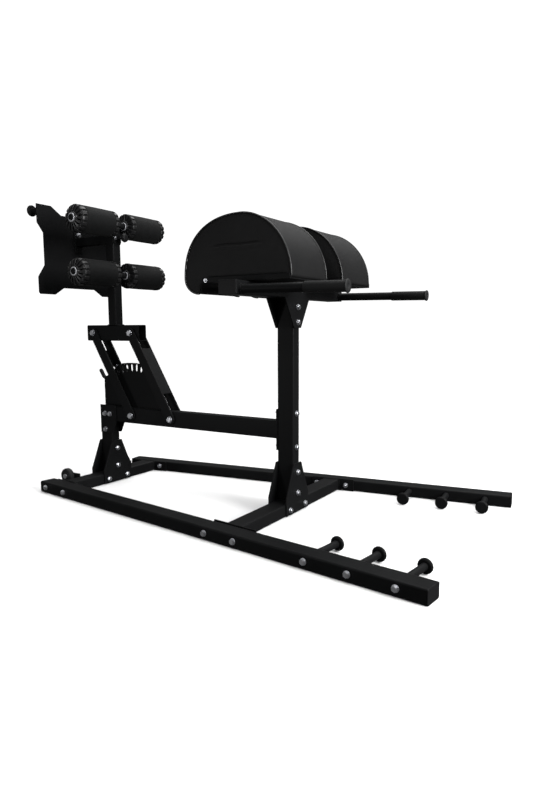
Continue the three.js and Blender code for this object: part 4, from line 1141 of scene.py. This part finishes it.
def frame_bolts():
    """Every through bolt of the base: the seat of its head, its direction, and the distance to the nut."""
    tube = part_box("upright")
    half_long, half_short, top = tube[1]
    pivot = joint_place("swing")
    post_x = middle("rear_post").x
    face = half_long + PLATE
    bolts = [(Vector((x + face, y, z)), X_WAY, 2 * face) for x in (middle("upright").x, post_x)
             for y, z in POST_BOLTS]
    bolts += [(Vector((face, 0, top - drop)), X_WAY, 2 * face) for drop in TOP_BOLT_DROPS]
    bolts += [(Vector((half_long, 0, pivot.z + rise)), X_WAY, half_long + face) for rise in BEAM_BOLT_RISES]
    tail = [(x, pivot.z) for x in TAIL_BOLTS] + [(0, TAIL_LOW_BOLT)]
    side_face = half_short + PLATE
    bolts += [(Vector((post_x + x, -side_face, z)), -Y_WAY, 2 * side_face) for x, z in tail]
    for name, side in SIDES.items():
        place = rail_matrix(name)
        out = place.to_3x3() @ (Y_WAY * side)
        for along in members(place):
            for end in (-MEMBER_BOLT_HALF, MEMBER_BOLT_HALF):
                bolts.append((place @ Vector((along + end, 0, RAIL_BOLT_RISE)), out, RAIL_GRIP))
        for i in (1, 2, 3):
            along = (place.inverted() @ middle(f"band_peg_{name}_{i}")).x
            bolts.append((place @ Vector((along, 0, PEG_BOLT_RISE)), out, None))
    return bolts


def tray_bolts():
    """The short bolts through the rear ends of the trays' flanges, into the pad boards."""
    bolts = []
    for name in SIDES:
        low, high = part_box(f"pad_bracket_{name}")
        for y, way in ((low.y, -1), (high.y, 1)):
            bolts.append((Vector((TRAY_BOLT[0], y, high.z - TRAY_BOLT[1])), Y_WAY * way, None))
    return bolts


class BENCH_OT_fasteners(Operator):
    """Sets the zinc bolts, nuts and washers and finishes the pivot and wheel bolts"""

    bl_idname = "bench.fasteners"
    bl_label = "Bolts and Nuts"

    def execute(self, context):
        self.set_bolts("base", "frame_bolts", frame_bolts())
        self.set_bolts("base", "tray_bolts", tray_bolts(), SMALL_BOLT)
        slide = joint_place("knob_turn").z
        plate_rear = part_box("foot_plate")[0].x
        tube_rear, tube_front = (corner.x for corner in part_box("slide_tube"))
        flange = tube_rear + SLIDE_FLANGE
        through = flange - plate_rear
        upper = Vector((flange, 0, slide + PLATE_BOLT_RISE))
        lower = Vector((plate_rear, 0, slide - PLATE_BOLT_RISE))
        self.set_bolts("foot_slide", "plate_bolt", [(upper, X_WAY, through)])
        self.set_bolts("foot_slide", "plate_bolt_dark", [(lower, -X_WAY, through)], finish_name=COAT)
        stop = Vector((tube_front, STOP_SCREW[0], slide + STOP_SCREW[1]))
        self.set_bolts("foot_slide", "stop_screw", [(stop, X_WAY, None)], SMALL_BOLT)
        swing, level = joint_place("swing"), joint_place("foot_section_level")
        along, across, grip = SPACER_BOLT
        spacer = swing + (level - swing).normalized() * along + Y_WAY * across
        self.set_bolts("rear_link", "spacer_bolt", [(spacer, Y_WAY, grip)], SMALL_BOLT)
        for node in frame["nodes"]:
            if node.startswith("pivot_bolt"):
                self.pivot(node)
            if node.startswith("wheel_axle"):
                rounded_copy(node, "plated", ZINC, 0.7 * MM)
        return {"FINISHED"}

    def set_bolts(self, body, name, bolts, size=1.0, finish_name=ZINC):
        """Bolts as one piece, from their seats, directions and the distances to their nuts, if any."""
        look = settings("bench_fasteners")
        heads = [(seat, way) for seat, way, _ in bolts]
        nuts = [(seat - way * through, -way) for seat, way, through in bolts if through]
        meshes = [copies("part_on_points", points_mesh(places), bolt_mesh(end), finish_name, size=size)
                  for places, end in ((heads, "head"), (nuts, "nut")) if places]
        for seat, way, through in bolts:
            ends = [seat - way * (through or 2 * MM), seat + way * look.washer_thick * size]
            meshes.append(sweep(ends, (look.shank / 2 - 0.4 * MM) * size, 12))
        piece(name, joined(name, meshes), finish_name, body, "zinc" if finish_name == ZINC else "frame")

    def pivot(self, node):
        """A pivot bolt: a shaft with a flanged hexagon at each end."""
        x, _, z = middle(node)
        low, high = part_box(node)
        half, head = (high.y - low.y) / 2, (high.z - low.z) / 2
        seat = half - PIVOT_HEAD
        rim = seat + PIVOT_FLANGE
        profile = rounded([(0, seat), (head, seat), (head, rim), (0, rim)], 0.7 * MM)
        meshes = [sweep([(x, -seat, z), (x, seat, z)], PIVOT_SHAFT, 24)]
        for side in (-1, 1):
            hexa = hexagon(PIVOT_FLATS, rim, half, 1.8 * MM)
            hexa.transform(y_seat(x, 0, z, side))
            meshes += [shade(lathe(profile, 36, "y", (x, 0, z), side)), hexa]
        dressed(node, "plated", joined(node, meshes), ZINC)


# Weld beads
BEAD_LIFT = 0.6 * MM  # a bead's middle off the steel
TUBE_HALF = 37.5 * MM  # half the height of the beam and of the foot section's box
HANDLE_BEAD = 17.2 * MM  # from a handle's centre line to the middle of the bead round it
MEMBER_FACE = 0.0819  # a rail's outer face to the bead round a cross member's flange
MEMBER_BEAD = ((-0.0385, 0.004), (-0.0385, 0.045), (-0.034, 0.0505), (0.034, 0.0505), (0.0385, 0.045),
               (0.0385, 0.004))  # along and up
TAB_BEAD = (0.014, 0.044)  # heights of its ends
TAB_PLACE = (0.4 * MM, 20.5 * MM)  # behind the rear cross member, and inwards from a wheel's middle
FOOT_POST = 0.1215  # foot section's post in front of the rear link's upper pivot
FOOT_TUBE = 50 * MM  # size of that post
SLIDE_TUBE = 38 * MM  # size of the slide's tube
# Pairs of beads across the bench: ahead of a place, half of their length, and above and below it
BEAM_BEADS = (-6.6 * MM, 19 * MM, TUBE_HALF + BEAD_LIFT)  # from the beam's front end
SLEEVE_BEADS = (-25.8 * MM, 22 * MM, 25 * MM)  # from the foot section's post, round the slide's sleeve
AXLE_BEADS = (26 * MM, 23 * MM, 8.5 * MM)  # from the post too, at the rollers' axles
LINK_EDGE = 16.4 * MM  # from a link's axis to its bead, in the side view
LINK_HALF = 26.4 * MM  # from a link's middle to its beads, across the bench
# For each link: its joint, the side of it, and how far from the joint the bead starts and ends
LINK_BEADS = {
    "rear_link": ("swing", -1, (0.275, 0.366)),
    "front_link": ("front_link_swing", 1, (0.12, 0.359)),
}


def pair(x, z, beads):
    """Two straight beads across the bench, below and above a place."""
    ahead, half, rise = beads
    return [[Vector((x + ahead, y, z + way * rise)) for y in (-half, half)] for way in (-1, 1)]


def square(centre, across, up, size):
    """A closed square of points round a centre, just outside a tube of the given size."""
    half = size / 2 + BEAD_LIFT
    corners = ((1, 1), (-1, 1), (-1, -1), (1, -1), (1, 1))
    return [Vector(centre) + (across * a + up * b) * half for a, b in corners]


class BENCH_OT_welds(Operator):
    """Lays the weld beads of the frame, the links and the foot section"""

    bl_idname = "bench.welds"
    bl_label = "Weld Beads"

    def execute(self, context):
        pivot, level = joint_place("swing"), joint_place("foot_section_level")
        slide = joint_place("knob_turn").z
        self.lay("base", "frame_welds", self.frame_lines(pivot))
        post = level.x + FOOT_POST
        foot = [square((post, 0, level.z + TUBE_HALF + BEAD_LIFT), X_WAY, Y_WAY, FOOT_TUBE)]
        foot += pair(post, slide, SLEEVE_BEADS)
        for name in LEVELS:
            foot += pair(post, middle(f"roller_foam_{name}_near").z, AXLE_BEADS)
        self.lay("foot_section", "foot_section_welds", foot)
        tube = (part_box("slide_tube")[0].x + SLIDE_FLANGE + BEAD_LIFT, 0, slide)
        self.lay("foot_slide", "foot_slide_welds", [square(tube, Y_WAY, Z_WAY, SLIDE_TUBE)])
        along = (level - pivot).normalized()
        across = Vector((along.z, 0, -along.x))
        for link, (joint_name, side, reach) in LINK_BEADS.items():
            edge = joint_place(joint_name) + across * side * LINK_EDGE
            self.lay(link, f"{link}_welds", [[edge + along * r + Y_WAY * y for r in reach]
                                             for y in (-LINK_HALF, LINK_HALF)])
        return {"FINISHED"}

    def frame_lines(self, pivot):
        """The beads of the base, as lines of points."""
        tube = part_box("upright")[1]
        lines = []
        for side in SIDES.values():
            centre = Vector((tube.x + BEAD_LIFT, side * abs(middle("grip_near").y), tube.z + HANDLE_RISE))
            ring = [centre + Y_WAY * y + Z_WAY * z for y, z in circle(28, HANDLE_BEAD)]
            lines.append([*ring, ring[0]])
        lines += pair(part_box("beam")[1].x, pivot.z, BEAM_BEADS)
        for name, side in SIDES.items():
            place = rail_matrix(name)
            for along in members(place):
                lines.append([place @ Vector((along + x, -side * MEMBER_FACE, z)) for x, z in MEMBER_BEAD])
        rear = middle("rear_post").x - tube.x - TAB_PLACE[0]
        tab = abs(middle("wheel_near").y) - TAB_PLACE[1]
        lines += [[Vector((rear, side * tab, z)) for z in TAB_BEAD] for side in SIDES.values()]
        return lines

    def lay(self, body, name, lines):
        look = settings("bench_welds")
        mesh = grown("grain_row", lines_mesh(lines), COAT, pitch=look.ripple, across=look.bead,
                     along=0.8 * look.bead, sides=8)
        piece(name, shade(mesh, 180), COAT, body, "frame")


# Studio
FLOOR_GREY = 0.84
FLOOR_DROP = 0.6 * MM  # below the bench, so that no two faces lie in one plane
DOME_GLOW = 1.1
CAMERA_PLACE = (1.2534, -2.1605, 0.7587)
CAMERA_ANGLES = (31.83, 7.24, -0.30)  # azimuth, elevation and roll in degrees
CAMERA_LENS = 18.372
CAMERA_SENSOR = 24.0
SUN_LEAN = (-16, 6, 0)  # degrees from straight above
LIGHTS_AIM = (0, 0, 0.6)
SOFTBOXES = (
    # name, place, size, the power setting and its share
    ("side_softbox", (4.2, -0.6, 2.0), (2.0, 2.4), "side_power", 1),
    ("glint_high", (0.8, -3.6, 2.6), (1.3, 0.6), "glint_power", 1),
    ("glint_low", (-2.4, -3.3, 0.35), (0.5, 1.2), "glint_power", 0.75),
)


class BENCH_OT_studio(Operator):
    """Sets up the pale floor, the soft lights and the camera at the photograph's angle"""

    bl_idname = "bench.studio"
    bl_label = "Studio"

    def execute(self, context):
        look = settings("bench_stage")
        self.floor(look.reach)
        self.backdrop(look.reach)
        self.lights(look)
        self.camera()
        return {"FINISHED"}

    def floor(self, reach):
        """A pale floor. It takes the shadows but throws no light back on the bench."""
        bm = bmesh.new()
        bmesh.ops.create_circle(bm, cap_ends=True, segments=64, radius=reach)
        bm.transform(Matrix.Translation((0, 0, -FLOOR_DROP)))
        floor = in_scene("studio_floor", mesh_from("studio_floor", bm))
        material, nodes, shader = blank_material("pale_floor")
        grey = (FLOOR_GREY, FLOOR_GREY, FLOOR_GREY, 1)
        nodes.feed(shader, Base_Color=grey, Roughness=0.9, Specular_IOR_Level=0.0)
        self.stage(floor, material)

    def backdrop(self, reach):
        """A white dome that only the camera sees."""
        bm = bmesh.new()
        bmesh.ops.create_uvsphere(bm, u_segments=48, v_segments=24, radius=reach * 0.99)
        dome = in_scene("studio_backdrop", mesh_from("studio_backdrop", bm))
        material, nodes, _ = blank_material("white_backdrop")
        glow = nodes.add("ShaderNodeEmission", Color=(1, 1, 1, 1), Strength=DOME_GLOW)
        nodes.feed(material.node_tree.nodes["Material Output"], Surface=glow.outputs["Emission"])
        dome.visible_transmission = False
        dome.visible_shadow = False
        self.stage(dome, material)

    def stage(self, obj, material):
        """Marks a part of the studio. The bench gets no light from it and mirrors none of it."""
        obj.data.materials.append(material)
        obj.visible_diffuse = False
        obj.visible_glossy = False

    def lights(self, look):
        scene = bpy.context.scene
        scene.view_settings.view_transform = "Standard"
        scene.world = bpy.data.worlds.new("studio")
        scene.world.use_nodes = True
        room = scene.world.node_tree.nodes["Background"]
        NodeTree(scene.world.node_tree).feed(room, Color=(1, 1, 1, 1), Strength=look.room)
        overhead = bpy.data.lights.new("overhead", "SUN")
        set_all(overhead, energy=look.sun_power, angle=look.sun_spread)
        in_scene("overhead", overhead).rotation_euler = [math.radians(angle) for angle in SUN_LEAN]
        for name, place, (wide, high), power, part in SOFTBOXES:
            light = bpy.data.lights.new(name, "AREA")
            set_all(light, shape="RECTANGLE", size=wide, size_y=high, energy=getattr(look, power) * part)
            aim = Vector(place) - Vector(LIGHTS_AIM)
            turn = aim.to_track_quat("Z", "Y").to_euler()
            set_all(in_scene(name, light), location=place, rotation_euler=turn)

    def camera(self):
        data = bpy.data.cameras.new("camera")
        set_all(data, sensor_fit="AUTO", sensor_width=CAMERA_SENSOR, lens=CAMERA_LENS, clip_end=200)
        camera = in_scene("camera", data)
        azimuth, elevation, roll = (math.radians(angle) for angle in CAMERA_ANGLES)
        level = math.cos(elevation)
        back = Vector((math.sin(azimuth) * level, -math.cos(azimuth) * level, math.sin(elevation)))
        right = Vector((math.cos(azimuth), math.sin(azimuth), 0))
        up = back.cross(right)
        rolled_right = right * math.cos(roll) + up * math.sin(roll)
        rolled_up = up * math.cos(roll) - right * math.sin(roll)
        turn = Matrix((rolled_right, rolled_up, back)).transposed()
        camera.matrix_world = Matrix.Translation(CAMERA_PLACE) @ turn.to_4x4()
        bpy.context.scene.camera = camera


OPERATORS = (
    BENCH_OT_coated_steel,
    BENCH_OT_handles,
    BENCH_OT_pegs,
    BENCH_OT_rollers,
    BENCH_OT_small_mouldings,
    BENCH_OT_hip_pads,
    BENCH_OT_fasteners,
    BENCH_OT_welds,
    BENCH_OT_studio,
)


class BENCH_PT_dressing(Panel):
    """Lists the bench's sizes, colours and pieces"""

    bl_label = "Glute Ham Bench"
    bl_idname = "BENCH_PT_dressing"
    bl_space_type = "VIEW_3D"
    bl_region_type = "UI"
    bl_category = "Bench"

    def draw(self, context):
        for name, group in SETTINGS.items():
            box = self.layout.box()
            box.label(text=name.replace("bench_", "").title())
            for key in group.__annotations__:
                box.prop(getattr(context.scene, name), key)
        for operator in OPERATORS:
            self.layout.operator(operator.bl_idname)


def register():
    for name, group in SETTINGS.items():
        bpy.utils.register_class(group)
        setattr(bpy.types.Scene, name, PointerProperty(type=group))
    for item in (*OPERATORS, BENCH_PT_dressing):
        bpy.utils.register_class(item)


def unregister():
    for item in (BENCH_PT_dressing, *reversed(OPERATORS)):
        bpy.utils.unregister_class(item)
    for name, group in reversed(SETTINGS.items()):
        delattr(bpy.types.Scene, name)
        bpy.utils.unregister_class(group)


def main():
    register()
    for operator in OPERATORS:
        family, action = operator.bl_idname.split(".")
        getattr(getattr(bpy.ops, family), action)()


if __name__ == "__main__":
    main()
